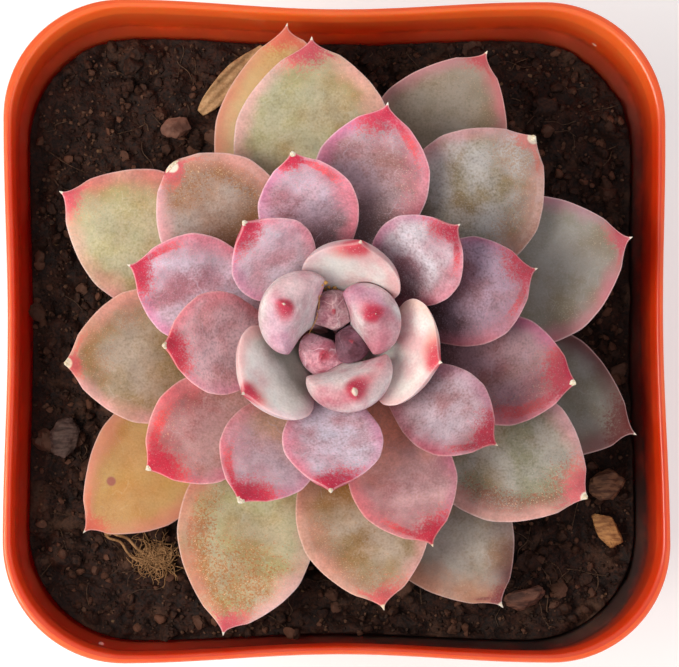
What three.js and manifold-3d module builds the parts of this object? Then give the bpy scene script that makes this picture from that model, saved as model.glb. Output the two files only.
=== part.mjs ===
// A white ice echeveria in a square plastic pot of potting soil, in millimetres, +Z up.
// The origin is in the middle of the pot's footprint, on the surface it stands on. +Y is the far side.
import * as THREE from "three";
import { mergeVertices } from "three/addons/utils/BufferGeometryUtils.js";
import Module from "manifold-3d";

const wasm = await Module();
wasm.setup();

// Driving dimensions of the pot
const rimWidth = 100;
const potHeight = 86;
const baseWidth = 72;
const cornerRadius = 18;
const sideBow = [0.7, 1.3];
const wallThickness = 1.1;
const collarHeight = 11;
const collarStep = 2.6;
const lipWidth = 1.2;
const lipHeight = 1.3;
const footHeight = 2.2;
const footWidth = 3;
const floorThickness = 1.4;
const drainRadius = 3.2;
const drainOffset = 21;
const pointsPerSide = 6;
const pointsPerCorner = 7;

// Room between two pieces that rest against each other
const clearance = 0.3;

// The soil, with its lumps and the rings that its surface is drawn on
const soilLevel = 74.5;
const lumpCount = 420;
const lumpSmallest = 1.2;
const lumpLargest = 3.8;
const soilFineness = 2;
const soilRings = [1, 0.965, 0.93, 0.895, 0.86, 0.82, 0.78, 0.72, 0.62, 0.45, 0.28];

// The plant's axis and its stem, with heights counted from the soil
const plantPlace = new THREE.Vector3(0.4, -0.6, soilLevel);
const plantLean = new THREE.Euler(THREE.MathUtils.degToRad(4), THREE.MathUtils.degToRad(-3), 0);
const stemRadius = 4.4;
const stemTop = 21;
const stemBuried = 11;
const lowestRoot = 3.6;

// The spiral that the leaves grow on, in degrees, and how upright they stand from youngest to oldest
const firstAzimuth = 323;
const divergence = 138.5;
const steepest = 78;
const flattest = 10;
const opening = 13;

// One row per leaf, youngest first: how far its tip stands from the plant's axis, its greatest width, and how far
// its azimuth strays from the spiral, in degrees. A few stand steeper than their age (lift) or bend sideways (sweep).
const leaves = [
  { reach: 2.5, width: 6.6, stray: 8 },
  { reach: 3.6, width: 7.6, stray: -3 },
  { reach: 3.9, width: 8.4, stray: -6 },
  { reach: 6.1, width: 11.4, stray: 8, lift: 5 },
  { reach: 8.9, width: 13.6, stray: -4, lift: 5 },
  { reach: 9, width: 14, stray: -10, lift: 6 },
  { reach: 13.9, width: 16.2, stray: 2, lift: -3 },
  { reach: 16.8, width: 16.8, stray: 0, lift: -5 },
  { reach: 15.9, width: 17.6, stray: -7, lift: -4 },
  { reach: 21.5, width: 13.8, stray: 1 },
  { reach: 23.6, width: 15.4, stray: -1 },
  { reach: 23.9, width: 14.8, stray: -3, sweep: -2 },
  { reach: 26.1, width: 15.8, stray: -1 },
  { reach: 28.6, width: 13.6, stray: 1 },
  { reach: 28, width: 15.2, stray: 0, sweep: 2 },
  { reach: 29.2, width: 15.2, stray: -1 },
  { reach: 31, width: 16.4, stray: -1 },
  { reach: 32.6, width: 16.6, stray: 4 },
  { reach: 34.3, width: 16.2, stray: -1, sweep: -1 },
  { reach: 35.2, width: 17.8, stray: 3 },
  { reach: 35, width: 16.4, stray: 2 },
  { reach: 36.6, width: 17, stray: -3 },
  { reach: 36.8, width: 19.6, stray: 4 },
  { reach: 41.2, width: 19.8, stray: 8, sweep: 3 },
  { reach: 42.5, width: 21.6, stray: -2 },
  { reach: 41.2, width: 20.8, stray: 0 },
  { reach: 44.8, width: 21.6, stray: 0, sweep: 3 },
  { reach: 44.9, width: 24, stray: -4, sweep: -4 },
  { reach: 47.5, width: 21.4, stray: 1, sweep: 7 },
  { reach: 46.7, width: 22.6, stray: -1, lift: -1 },
  { reach: 46.7, width: 21, stray: -6 },
  { reach: 47.4, width: 19.8, stray: 2, lift: -1.5, sweep: 3 },
  { reach: 48.8, width: 21.2, stray: -11, lift: -2.8, sweep: -2 },
  { reach: 47.7, width: 19, stray: -3, sweep: 7, tone: "gold" },
  { reach: 47.4, width: 19.4, stray: -3, lift: -2.5, sweep: -7 },
  { reach: 47.9, width: 20, stray: -20, sweep: -12, tone: "gold" },
];
const budCount = 3;
const heartCount = 9;

// A leaf from its root to its tip: place along it, share of the greatest width, share of the thickness
const leafProfile = [
  [0, 0.22, 0.52],
  [0.12, 0.27, 0.6],
  [0.26, 0.46, 0.76],
  [0.4, 0.75, 0.94],
  [0.52, 0.94, 1],
  [0.62, 1, 1],
  [0.72, 0.96, 0.96],
  [0.8, 0.81, 0.86],
  [0.88, 0.55, 0.7],
  [0.94, 0.29, 0.46],
  [0.975, 0.12, 0.24],
];
const widestPlace = 0.62;
const leafPlumpness = 0.21;
const budPlumpness = 0.6;
const upperShare = 0.24;
const leafWrap = 0.9;
const leafCup = 0.022;
const pointsAroundLeaf = 12;

// Shapes
const radians = THREE.MathUtils.degToRad;

function random(seed) {
  let state = seed;
  return () => {
    state = (state * 1664525 + 1013904223) % 4294967296;
    return state / 4294967296;
  };
}

// Closed body through rings of equal length, each turning anticlockwise seen from the far end.
function loft(rings, tip) {
  const count = rings[0].length;
  const points = rings.flat();
  const triangles = [];
  for (let row = 0; row + 1 < rings.length; row++) {
    for (let i = 0; i < count; i++) {
      const a = row * count + i;
      const b = row * count + ((i + 1) % count);
      triangles.push(a, b, b + count, a, b + count, a + count);
    }
  }
  const close = (start, facesBack, end) => {
    const middle = new THREE.Vector3();
    for (let i = 0; i < count; i++) middle.addScaledVector(points[start + i], 1 / count);
    const centre = points.push(end ?? middle) - 1;
    for (let i = 0; i < count; i++) {
      const a = start + i;
      const b = start + ((i + 1) % count);
      triangles.push(...(facesBack ? [centre, b, a] : [centre, a, b]));
    }
  };
  close(0, true);
  close((rings.length - 1) * count, false, tip);
  const geometry = new THREE.BufferGeometry().setFromPoints(points);
  geometry.setIndex(triangles);
  return geometry;
}

function solidOf(geometry) {
  const bare = geometry.clone();
  bare.deleteAttribute("normal");
  bare.deleteAttribute("uv");
  const merged = mergeVertices(bare);
  const vertProperties = merged.attributes.position.array;
  const triVerts = new Uint32Array(merged.index.array);
  return new wasm.Manifold(new wasm.Mesh({ numProp: 3, vertProperties, triVerts }));
}

function geometryOf(solid) {
  const mesh = solid.getMesh();
  const geometry = new THREE.BufferGeometry();
  geometry.setAttribute("position", new THREE.Float32BufferAttribute(mesh.vertProperties, 3));
  geometry.setIndex([...mesh.triVerts]);
  return geometry;
}

// Pot
// The rounded square of the pot at one height: its sides bow inwards between the corners.
function potOutline(halfWidth, z, fineness = 1) {
  const share = halfWidth / (rimWidth / 2);
  const radius = cornerRadius * share;
  const straight = halfWidth - radius;
  const alongSide = pointsPerSide * fineness;
  const alongCorner = pointsPerCorner * fineness;
  const points = [];
  for (let side = 0; side < 4; side++) {
    const turn = (side * Math.PI) / 2;
    const bow = sideBow[side % 2] * (z / potHeight) * share ** 2;
    const place = (u, v) => {
      const x = u * Math.cos(turn) - v * Math.sin(turn);
      const y = u * Math.sin(turn) + v * Math.cos(turn);
      points.push(new THREE.Vector3(x, y, z));
    };
    for (let i = 0; i < alongSide; i++) {
      const v = straight * ((2 * i) / alongSide - 1);
      place(halfWidth - bow * Math.cos((v / straight) * (Math.PI / 2)) ** 2, v);
    }
    for (let i = 0; i < alongCorner; i++) {
      const angle = (i / alongCorner) * (Math.PI / 2);
      place(straight + radius * Math.cos(angle), straight + radius * Math.sin(angle));
    }
  }
  return points;
}

const floorTop = footHeight + floorThickness;
const collarFoot = potHeight - collarHeight;
const wallTop = rimWidth / 2 - collarStep;

// Half-width of the pot's inside at one height below its collar.
function insideAt(z) {
  const bottom = baseWidth / 2 - wallThickness;
  const share = (z - floorTop) / (collarFoot - wallThickness - floorTop);
  return bottom + (wallTop - wallThickness - bottom) * share;
}

function drainHole(x, y) {
  const cutter = new THREE.CylinderGeometry(drainRadius, drainRadius, 2 * floorTop, 16);
  return solidOf(cutter.rotateX(Math.PI / 2).translate(x, y, floorTop));
}

function pot() {
  const rim = rimWidth / 2;
  const base = baseWidth / 2;
  const rings = [
    potOutline(base - footWidth - 1, footHeight),
    potOutline(base - footWidth, 0),
    potOutline(base - 0.6, 0),
    potOutline(base, 0.6),
    potOutline(wallTop, collarFoot - 1.2),
    potOutline(wallTop + wallThickness, collarFoot),
    potOutline(rim - 0.7, potHeight - lipHeight - 0.4),
    potOutline(rim, potHeight - lipHeight),
    potOutline(rim, potHeight - 0.3),
    potOutline(rim - 0.25, potHeight),
    potOutline(rim - lipWidth + 0.25, potHeight),
    potOutline(rim - lipWidth, potHeight - 0.3),
    potOutline(rim - lipWidth - 0.7, potHeight - lipHeight - 0.9),
    potOutline(wallTop + 0.2, collarFoot + 0.8),
    potOutline(wallTop - wallThickness, collarFoot - wallThickness),
    potOutline(base - wallThickness, floorTop),
  ];
  let solid = solidOf(loft(rings)).subtract(drainHole(0, 0));
  for (const side of [1, -1]) {
    solid = solid.subtract(drainHole(side * drainOffset, 0)).subtract(drainHole(0, side * drainOffset));
  }
  return geometryOf(solid);
}

// Soil
// What lies on the soil, with the radius of the flat bed that it has pressed into it
const bits = {
  bark_chip_1: { shape: chip, color: 0x7a5232, x: 41.6, y: -22.3, bed: 4, size: [4.8, 3.8, 2.2], turn: 20, seed: 3 },
  bark_chip_2: { shape: chip, color: 0xa8783c, x: 41.6, y: -29.2, bed: 5, size: [6.6, 3.4, 2], turn: -50, seed: 5 },
  bark_chip_3: { shape: chip, color: 0x5a3d44, x: -40.6, y: -15.6, bed: 5, size: [6.2, 4.6, 2.4], turn: 75, seed: 7 },
  bark_chip_4: { shape: chip, color: 0x70402a, x: 28.9, y: -39.6, bed: 5, size: [6.2, 3.4, 2.2], turn: 15, seed: 9 },
  pebble: { shape: chip, color: 0x7d5f54, x: -23.7, y: 31.8, bed: 4, size: [4.4, 3.6, 2.6], turn: 10, seed: 13 },
  withered_leaf: { shape: witheredLeaf, color: 0x9c7448, x: -15.2, y: 39.4, bed: 9, size: [14, 3.6, 0.8], turn: 47 },
  dry_root: { shape: dryRoot, color: 0xb48a58, x: -29.5, y: -33, bed: 8, size: [11, 11, 2], turn: -32, seed: 17 },
};
const leafArch = 1;
const rootFibres = 5;
const bedEdge = 3;
const bareAroundStem = 16;

const next = random(11);
const lumps = Array.from({ length: lumpCount }, () => {
  const x = (2 * next() - 1) * wallTop;
  const y = (2 * next() - 1) * wallTop;
  const radius = lumpSmallest + (lumpLargest - lumpSmallest) * next() ** 2;
  return { x, y, radius, rise: radius * (0.3 + 0.35 * next()) };
}).filter(({ x, y }) => Math.hypot(x, y) > bareAroundStem);

function soilWaves(x, y) {
  return soilLevel + 0.5 * Math.sin(x / 9 + 1) * Math.cos(y / 7) + 0.35 * Math.sin(y / 4 + x / 6);
}

// Height of the soil's surface: slow waves with rounded lumps raised on them, and flat beds under what lies there.
function soilHeight(x, y) {
  let lump = 0;
  for (const { x: lumpX, y: lumpY, radius, rise } of lumps) {
    const near = 1 - ((x - lumpX) ** 2 + (y - lumpY) ** 2) / radius ** 2;
    if (near > 0) lump = Math.max(lump, rise * Math.sqrt(near));
  }
  let height = soilWaves(x, y) + lump;
  for (const bit of Object.values(bits)) {
    const beyond = (Math.hypot(x - bit.x, y - bit.y) - bit.bed) / bedEdge;
    const share = THREE.MathUtils.clamp(beyond, 0, 1);
    height = share * height + (1 - share) * soilWaves(bit.x, bit.y);
  }
  return height;
}

// Moves a piece so that it lies on its bed in the soil.
function settle(geometry, { x, y, turn }) {
  geometry.rotateZ(radians(turn));
  geometry.computeBoundingBox();
  return geometry.translate(x, y, soilWaves(x, y) + clearance - geometry.boundingBox.min.z);
}

function soil() {
  const floor = floorTop + clearance;
  const shoulder = soilLevel - 1.2;
  const edge = insideAt(shoulder) - clearance;
  const rings = [
    potOutline(insideAt(floor) - clearance, floor, soilFineness),
    potOutline(edge, shoulder, soilFineness),
  ];
  for (const share of soilRings) {
    const ring = potOutline(edge * share, soilLevel, soilFineness);
    const settled = share === 1 ? 0.6 : 0;
    for (const point of ring) point.z = soilHeight(point.x, point.y) - settled;
    rings.push(ring);
  }
  const radius = stemRadius + clearance;
  const socket = new THREE.CylinderGeometry(radius, radius, 2 * (stemBuried + clearance), 24);
  socket.rotateX(Math.PI / 2).applyQuaternion(new THREE.Quaternion().setFromEuler(plantLean));
  socket.translate(plantPlace.x, plantPlace.y, plantPlace.z);
  return geometryOf(solidOf(loft(rings)).subtract(solidOf(socket)));
}

// Leaves
// Where a leaf grows on the stem: the youngest sit around its tip.
function rootRadius(index) {
  return stemRadius * (1 - Math.exp(-(index + 1.2) / 6));
}

function rootHeight(index) {
  return stemTop - (stemTop - lowestRoot) * (index / (leaves.length - 1)) ** 1.1;
}

function leafShape(index) {
  const row = leaves[index];
  const root = rootRadius(index);
  const upright = Math.exp(-((index / opening) ** 1.3));
  const rise = radians(flattest + (steepest - flattest) * upright + (row.lift ?? 0));
  return {
    root,
    foot: rootHeight(index),
    rise,
    length: (row.reach - root) / Math.cos(rise),
    curl: radians(14 + (index < 2 * budCount ? 34 : 12) * Math.exp(-index / 9)),
    azimuth: radians(firstAzimuth + divergence * index + row.stray),
    sweep: radians(row.sweep ?? 0),
    width: row.width,
    thick: row.width * (leafPlumpness + budPlumpness * Math.exp(-((index / 5) ** 1.6))),
    upper: upperShare + 0.28 * Math.exp(-index / 6),
    pointed: 1 + 0.7 * Math.exp(-((index / 12) ** 2)),
    drawnIn: index < 2 * budCount ? 1.6 : 1,
    wrap: leafWrap * (1 - 0.7 * Math.exp(-index / 2)),
  };
}

// A leaf's centreline is an arc in the upright plane through the plant's axis.
function leafCentre(leaf, along) {
  const radius = leaf.length / 2 / Math.sin(leaf.curl / 2);
  const start = leaf.rise - leaf.curl / 2;
  const pitch = start + leaf.curl * along;
  const out = leaf.root + radius * (Math.sin(pitch) - Math.sin(start));
  const up = leaf.foot + radius * (Math.cos(start) - Math.cos(pitch));
  return { out, up, pitch };
}

// A point of the leaf from its place along and across it and its height above the centreline.
function leafPoint(leaf, along, across, above) {
  const centre = leafCentre(leaf, along);
  const out = centre.out - above * Math.sin(centre.pitch);
  const azimuth = leaf.azimuth + leaf.sweep * along ** 2;
  return new THREE.Vector3(
    out * Math.cos(azimuth) - across * Math.sin(azimuth),
    out * Math.sin(azimuth) + across * Math.cos(azimuth),
    centre.up + above * Math.cos(centre.pitch),
  );
}

// One section of the leaf: an oval, flatter above than below, bent around the plant's axis.
function leafRing(leaf, along, halfWidth, thick) {
  const { out, pitch } = leafCentre(leaf, along);
  const bend = leafCup + (leaf.wrap * Math.sin(Math.min(pitch, Math.PI / 2))) / Math.max(out, 2.5);
  const points = [];
  for (let i = 0; i < pointsAroundLeaf; i++) {
    const angle = (i / pointsAroundLeaf) * 2 * Math.PI;
    const turned = bend * halfWidth * Math.cos(angle);
    const share = i < pointsAroundLeaf / 2 ? leaf.upper : 1 - leaf.upper;
    const depth = thick * share * Math.sin(angle);
    const across = Math.sin(turned) / bend - depth * Math.sin(turned);
    const above = (1 - Math.cos(turned)) / bend + depth * Math.cos(turned);
    points.push(leafPoint(leaf, along, across, above));
  }
  return points;
}

function leafBody(index, swell = 0) {
  const leaf = leafShape(index);
  const rings = leafProfile.map(([along, widthShare, thickShare]) => {
    const power = along < widestPlace ? leaf.drawnIn : leaf.pointed;
    const halfWidth = (widthShare ** power * leaf.width) / 2 + swell;
    return leafRing(leaf, along, halfWidth, thickShare * leaf.thick + 2 * swell);
  });
  return loft(rings, leafPoint(leaf, 1, 0, 0));
}

// In the heart the buds are pressed flat by the older leaves around them, and the next ring of leaves by the buds'
// neighbours.
function pressedBy(index) {
  if (index < budCount) return Array.from({ length: heartCount - index - 1 }, (_, i) => index + 1 + i);
  if (index >= 2 * budCount && index < heartCount) return [3, 4, 5];
  return [];
}

function leafGeometry(index) {
  const body = leafBody(index);
  const others = pressedBy(index);
  if (others.length === 0) return body;
  let solid = solidOf(body);
  for (const other of others) solid = solid.subtract(solidOf(leafBody(other, clearance)));
  return geometryOf(solid);
}

// Stem, just inside the leaves' roots
function stem() {
  const profile = [
    new THREE.Vector2(0, -stemBuried),
    new THREE.Vector2(stemRadius * 0.8, -stemBuried),
    new THREE.Vector2(stemRadius, 2 - stemBuried),
    new THREE.Vector2(stemRadius, 0),
  ];
  for (let index = leaves.length - 1; index > budCount; index -= 4) {
    const leaf = leafShape(index);
    const inner = leafProfile[0][2] * leaf.thick * leaf.upper;
    const { pitch } = leafCentre(leaf, 0);
    const radius = leaf.root - inner * Math.sin(pitch) - clearance;
    profile.push(new THREE.Vector2(radius, leaf.foot + inner * Math.cos(pitch)));
  }
  profile.push(new THREE.Vector2(0, stemTop - 1));
  return new THREE.LatheGeometry(profile, 18).rotateX(Math.PI / 2);
}

// Bits lying on the soil
// A rough chip of bark or stone, its corners moved in and out at random.
function chip(bit) {
  const roll = random(bit.seed);
  const ball = new THREE.IcosahedronGeometry(1, 1);
  ball.deleteAttribute("normal");
  ball.deleteAttribute("uv");
  const geometry = mergeVertices(ball);
  const corners = geometry.attributes.position;
  for (let i = 0; i < corners.count; i++) {
    const share = 0.8 + 0.2 * roll();
    corners.setXYZ(i, corners.getX(i) * share, corners.getY(i) * share, corners.getZ(i) * share);
  }
  return settle(geometry.scale(bit.size[0] / 2, bit.size[1] / 2, bit.size[2] / 2), bit);
}

// A withered leaf: a thin blade arched over the soil.
function witheredLeaf(bit) {
  const [length, width, thick] = bit.size;
  const stations = 9;
  const pointsAround = 10;
  const rings = [];
  for (let row = 0; row < stations; row++) {
    const along = row / (stations - 1);
    const half = (width / 2) * (0.3 + 0.7 * Math.sin(Math.PI * along ** 0.8));
    const ring = [];
    for (let i = 0; i < pointsAround; i++) {
      const angle = (i / pointsAround) * 2 * Math.PI;
      const across = half * Math.cos(angle);
      const lift = leafArch * Math.sin(Math.PI * along) + 0.3 * across * Math.sin(3 * along);
      ring.push(new THREE.Vector3((along - 0.5) * length, across, lift + (thick / 2) * Math.sin(angle)));
    }
    rings.push(ring);
  }
  return settle(loft(rings), bit);
}

// A round strand through a few points.
function strand(points, radius) {
  const pointsAround = 5;
  const stations = points.length * 2;
  const path = new THREE.CatmullRomCurve3(points.map((point) => new THREE.Vector3(...point)));
  const { normals, binormals } = path.computeFrenetFrames(stations, false);
  const rings = normals.map((normal, row) => {
    const centre = path.getPointAt(row / stations);
    return Array.from({ length: pointsAround }, (_, i) => {
      const angle = (i / pointsAround) * 2 * Math.PI;
      const side = normal.clone().multiplyScalar(radius * Math.cos(angle));
      return side.addScaledVector(binormals[row], radius * Math.sin(angle)).add(centre);
    });
  });
  return solidOf(loft(rings));
}

// A dry root with a knob at one end and a tuft of fibres at the other.
function dryRoot(bit) {
  const roll = random(bit.seed);
  const half = bit.size[0] / 2;
  const stalk = [[-half, 0, 0.6], [-0.6 * half, 0.3, 0.9], [-0.1 * half, -0.6, 0.4], [0.2 * half, 0, 0.4]];
  let solid = strand(stalk, 0.4).add(solidOf(new THREE.IcosahedronGeometry(0.75, 1).translate(-half, 0, 0.7)));
  for (let i = 0; i < rootFibres; i++) {
    const spread = (i / (rootFibres - 1) - 0.5) * 2.2;
    const reach = half * (0.6 + 0.4 * roll());
    const end = [0.1 * half + reach * Math.cos(spread), reach * Math.sin(spread), 0.3 + 1.2 * roll()];
    const middle = [0.1 * half + end[0] * 0.25, end[1] * 0.6 + roll() - 0.5, 0.6 + 1.2 * roll()];
    solid = solid.add(strand([[0, 0, 0.4], middle, end], 0.34));
  }
  return settle(geometryOf(solid), bit);
}

// Materials
function finish(color, roughness) {
  return new THREE.MeshStandardMaterial({ color, roughness, metalness: 0 });
}

// Leaf colour from the dusky heart over rose and lilac to the grey-green of the oldest leaves.
function leafFinish(index) {
  if (leaves[index].tone === "gold") return finish(0xd9a660, 0.6);
  const ages = [[0, 0x8c5568], [3, 0xe3bcc0], [8, 0xe2d3d6], [15, 0xc993a6], [22, 0xc0a093], [35, 0xb0ad8c]];
  const after = Math.max(1, ages.findIndex(([age]) => age >= index));
  const [fromAge, from] = ages[after - 1];
  const [toAge, to] = ages[after];
  const color = new THREE.Color(from).lerp(new THREE.Color(to), (index - fromAge) / (toAge - fromAge));
  return finish(color, 0.6);
}

// Assembly
function named(name, geometry, material) {
  const mesh = new THREE.Mesh(geometry, material);
  mesh.name = name;
  return mesh;
}

const plant = new THREE.Group();
plant.position.copy(plantPlace);
plant.rotation.copy(plantLean);
plant.add(named("stem", geometryOf(solidOf(stem())), finish(0x8a7a52, 0.7)));
for (let index = 0; index < leaves.length; index++) {
  const name = `leaf_${String(index + 1).padStart(2, "0")}`;
  plant.add(named(name, leafGeometry(index), leafFinish(index)));
}

const pottedPlant = new THREE.Group();
pottedPlant.add(named("pot", pot(), finish(0xc8441c, 0.35)));
pottedPlant.add(named("soil", soil(), finish(0x2b201a, 0.95)));
pottedPlant.add(plant);
for (const [name, bit] of Object.entries(bits)) {
  pottedPlant.add(named(name, bit.shape(bit), finish(bit.color, 0.85)));
}

export default pottedPlant;
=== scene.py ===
# %% [markdown]
# # A white ice echeveria in its square pot
#
# A rosette of fleshy leaves stands on a short stem in a thin plastic pot of dark soil. The construction
# comes packed, with each leaf, the stem, the soil and the pot as a plain solid at its real size. This
# lesson dresses those solids: it draws each shape again with a finer mesh, keeps its form, and gives it a
# finish made of shader nodes.
#
# Everything is in metres in Blender, but plants and pots are easier to think of in millimetres, so the
# shapes are worked out in millimetres and scaled once, when a mesh is made.

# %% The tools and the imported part
import math

import bmesh
import bpy
import numpy as np
from mathutils import Euler, Matrix, Vector, noise
from mathutils.bvhtree import BVHTree
from mathutils.kdtree import KDTree


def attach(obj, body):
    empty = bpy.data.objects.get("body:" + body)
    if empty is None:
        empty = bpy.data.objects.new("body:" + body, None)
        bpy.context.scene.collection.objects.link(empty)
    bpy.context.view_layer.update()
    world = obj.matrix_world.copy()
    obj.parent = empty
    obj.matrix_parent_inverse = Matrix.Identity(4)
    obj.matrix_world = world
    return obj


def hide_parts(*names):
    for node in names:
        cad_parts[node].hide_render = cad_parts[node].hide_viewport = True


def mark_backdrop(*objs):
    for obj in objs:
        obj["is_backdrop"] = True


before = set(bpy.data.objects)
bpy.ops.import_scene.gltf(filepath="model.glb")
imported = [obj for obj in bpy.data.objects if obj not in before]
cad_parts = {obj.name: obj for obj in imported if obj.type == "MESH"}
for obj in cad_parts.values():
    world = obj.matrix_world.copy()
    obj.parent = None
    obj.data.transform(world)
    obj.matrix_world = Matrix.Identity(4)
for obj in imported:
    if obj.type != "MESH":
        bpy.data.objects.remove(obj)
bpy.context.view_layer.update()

MM = 0.001

# %% [markdown]
# ## Meshes from rings
#
# A leaf, a pot, a chip and a root are all skins stretched over rings of points. They could be drawn by hand
# in edit mode, but rings worked out by a formula can be made as fine as the picture needs and still follow
# the solid below. One helper joins rings with quads and closes both ends with a fan, and one turns points
# into an object.

# %% Rings, skins and objects
def loft_faces(rows, around):
    """Faces over rows of rings, with a fan over each end. The fans' centres come after the rings' points."""
    here = np.arange(around)
    beyond = (here + 1) % around
    starts = np.arange(rows - 1)[:, None] * around
    corners = [starts + here, starts + beyond, starts + around + beyond, starts + around + here]
    faces = np.stack(corners, -1).reshape(-1, 4).tolist()
    last = (rows - 1) * around
    first_centre = rows * around
    faces += [(first_centre, b, a) for a, b in zip(here.tolist(), beyond.tolist())]
    faces += [(first_centre + 1, last + a, last + b) for a, b in zip(here.tolist(), beyond.tolist())]
    return faces


def circle(count):
    """Angles all the way round, evenly spaced."""
    return np.linspace(0, 2 * math.pi, count, endpoint=False)


def piece(name, points, faces, smooth=True):
    """An object from points in millimetres."""
    mesh = bpy.data.meshes.new(name)
    mesh.from_pydata((np.asarray(points, float) * MM).tolist(), [], faces)
    mesh.update()
    if smooth:
        mesh.shade_smooth()
    thing = bpy.data.objects.new(name, mesh)
    bpy.context.scene.collection.objects.link(thing)
    return thing


def lofted(name, rings, end=None):
    """An object from rings of equal length, closed at both ends. A pointed end is given as one point."""
    rings = np.asarray(rings, float)
    rows, around = rings.shape[:2]
    tip = rings[-1].mean(0) if end is None else end
    points = np.concatenate([rings.reshape(-1, 3), [rings[0].mean(0)], [tip]])
    return piece(name, points, loft_faces(rows, around))


def joined(name, parts, smooth=True):
    """One object from several sets of points and faces."""
    points = []
    faces = []
    for part_points, part_faces in parts:
        start = sum(len(p) for p in points)
        points.append(part_points)
        faces += [[start + i for i in face] for face in part_faces]
    return piece(name, np.concatenate(points), faces, smooth)


def store(mesh, values):
    """Keeps numbers at each point of a mesh, for its material to read."""
    for name, numbers in values.items():
        attribute = mesh.attributes.new(name, "FLOAT", "POINT")
        attribute.data.foreach_set("value", np.asarray(numbers, np.float32))


def draws(seed):
    """An endless row of random numbers between 0 and 1, the same at each run."""
    state = seed
    while True:
        state = (state * 1664525 + 1013904223) % 2**32
        yield state / 2**32


def dress(thing, material, slot, *nodes):
    """Gives a piece its material, its place on the body and the solids that it stands for. The slot is not
    used.
    """
    thing.data.materials.clear()
    thing.data.materials.append(material)
    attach(thing, "root")
    if nodes:
        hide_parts(*nodes)
    return thing


print("ring helpers ready")

# %% [markdown]
# ## Camera
#
# The plant is seen from almost straight above, a little from the front left. A long lens from 0.8 m gives
# that flat, close look. The camera's axes are built from the viewing direction, so that its slight roll can
# be set in degrees.

# %% The camera over the rosette
PHOTO_WIDTH = 679
PIXELS_PER_MM = 6.67
VIEW_DIRECTION = Vector((-0.07, -0.112, 1)).normalized()
TARGET = Vector((0.35, -0.65, 86)) * MM
DISTANCE = 0.8
ROLL = math.radians(0.3)
SENSOR_WIDTH = 36


def make_camera():
    data = bpy.data.cameras.new("camera")
    data.sensor_width = SENSOR_WIDTH
    data.lens = SENSOR_WIDTH * PIXELS_PER_MM * DISTANCE / MM / PHOTO_WIDTH
    data.dof.use_dof = False
    camera = bpy.data.objects.new("camera", data)
    right = Vector((0, 1, 0)).cross(VIEW_DIRECTION).normalized()
    up = VIEW_DIRECTION.cross(right)
    rolled_right = right * math.cos(ROLL) - up * math.sin(ROLL)
    rolled_up = up * math.cos(ROLL) + right * math.sin(ROLL)
    turn = Matrix((rolled_right, rolled_up, VIEW_DIRECTION)).transposed()
    camera.matrix_world = Matrix.Translation(TARGET + VIEW_DIRECTION * DISTANCE) @ turn.to_4x4()
    bpy.context.scene.collection.objects.link(camera)
    bpy.context.scene.camera = camera
    return camera


camera = make_camera()
print("lens", round(camera.data.lens, 1), "mm")

# %% [markdown]
# ## Shader nodes in words
#
# A material is a small program of nodes. Written out in full it fills pages, so a few helpers add a node,
# plug in values or other nodes, and hand back its output. An output adds and multiplies as a number does,
# with one Math node for each step. Colours are hexadecimal, as on a paint chart, and turned into the linear
# values of the shader.

# %% Helpers for shader nodes
def paint(code):
    """A colour chart's hexadecimal code as a linear colour."""
    parts = [int(code[i:i + 2], 16) / 255 for i in (1, 3, 5)]
    return [c / 12.92 if c <= 0.04045 else ((c + 0.055) / 1.055) ** 2.4 for c in parts] + [1]


class Bench:
    """The node tree and the material that are being built."""

    tree = None
    material = None


class Output:
    """A node's output, which reckons as a number does. Its node's other outputs are found by name."""

    def __init__(self, socket):
        self.socket = socket

    def __getitem__(self, name):
        return Output(self.socket.node.outputs[name])

    def __add__(self, other):
        return calc("ADD", self, other)

    def __sub__(self, other):
        return calc("SUBTRACT", self, other)

    def __rsub__(self, other):
        return calc("SUBTRACT", other, self)

    def __mul__(self, other):
        return calc("MULTIPLY", self, other)

    def __truediv__(self, other):
        return calc("DIVIDE", self, other)

    def __rtruediv__(self, other):
        return calc("DIVIDE", other, self)


def fill(node, values):
    """Fills a node's inputs with values, colour codes or other nodes' outputs."""
    for name, value in values.items():
        if isinstance(value, Output):
            Bench.tree.links.new(value.socket, node.inputs[name])
        else:
            node.inputs[name].default_value = paint(value) if isinstance(value, str) else value
    return node


def add(kind, inputs=None, **settings):
    """Adds a node with its inputs and settings, and hands back its first output."""
    node = Bench.tree.nodes.new("ShaderNode" + kind)
    for name, value in settings.items():
        setattr(node, name, value)
    return Output(fill(node, inputs or {}).outputs[0])


def calc(operation, *values):
    return add("Math", dict(enumerate(values)), operation=operation)


def clamped(value):
    """Keeps the result of the last step between 0 and 1."""
    value.socket.node.use_clamp = True
    return value


def vectors(operation, *values):
    return add("VectorMath", dict(enumerate(values)), operation=operation)


def scaled(vector, factor):
    return add("VectorMath", {0: vector, "Scale": factor}, operation="SCALE")


def blend(share, under, over):
    """Lays one colour over another by a share between 0 and 1."""
    return add("Mix", {0: share, 6: under, 7: over}, data_type="RGBA")[2]


def fade(value, start, end):
    """0 before start and 1 after end, with a smooth step between. It runs backwards if end is below start."""
    inputs = {"Value": value, "From Min": start, "From Max": end}
    return add("MapRange", inputs, interpolation_type="SMOOTHSTEP")


def surface_place():
    return add("TexCoord")["Object"]


def coordinates():
    return add("SeparateXYZ", {0: surface_place()})


def per_mm(size):
    """A texture's scale for patches of that size in millimetres."""
    return calc("DIVIDE", 1 / MM, size)


def mottle(size, detail=2.0, roughness=0.5):
    """Noise between 0 and 1 with patches of about that size in millimetres."""
    inputs = {"Vector": surface_place(), "Scale": per_mm(size), "Detail": detail, "Roughness": roughness}
    return add("TexNoise", inputs)


def stored(name):
    return add("Attribute", attribute_name=name, attribute_type="GEOMETRY")["Fac"]


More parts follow.
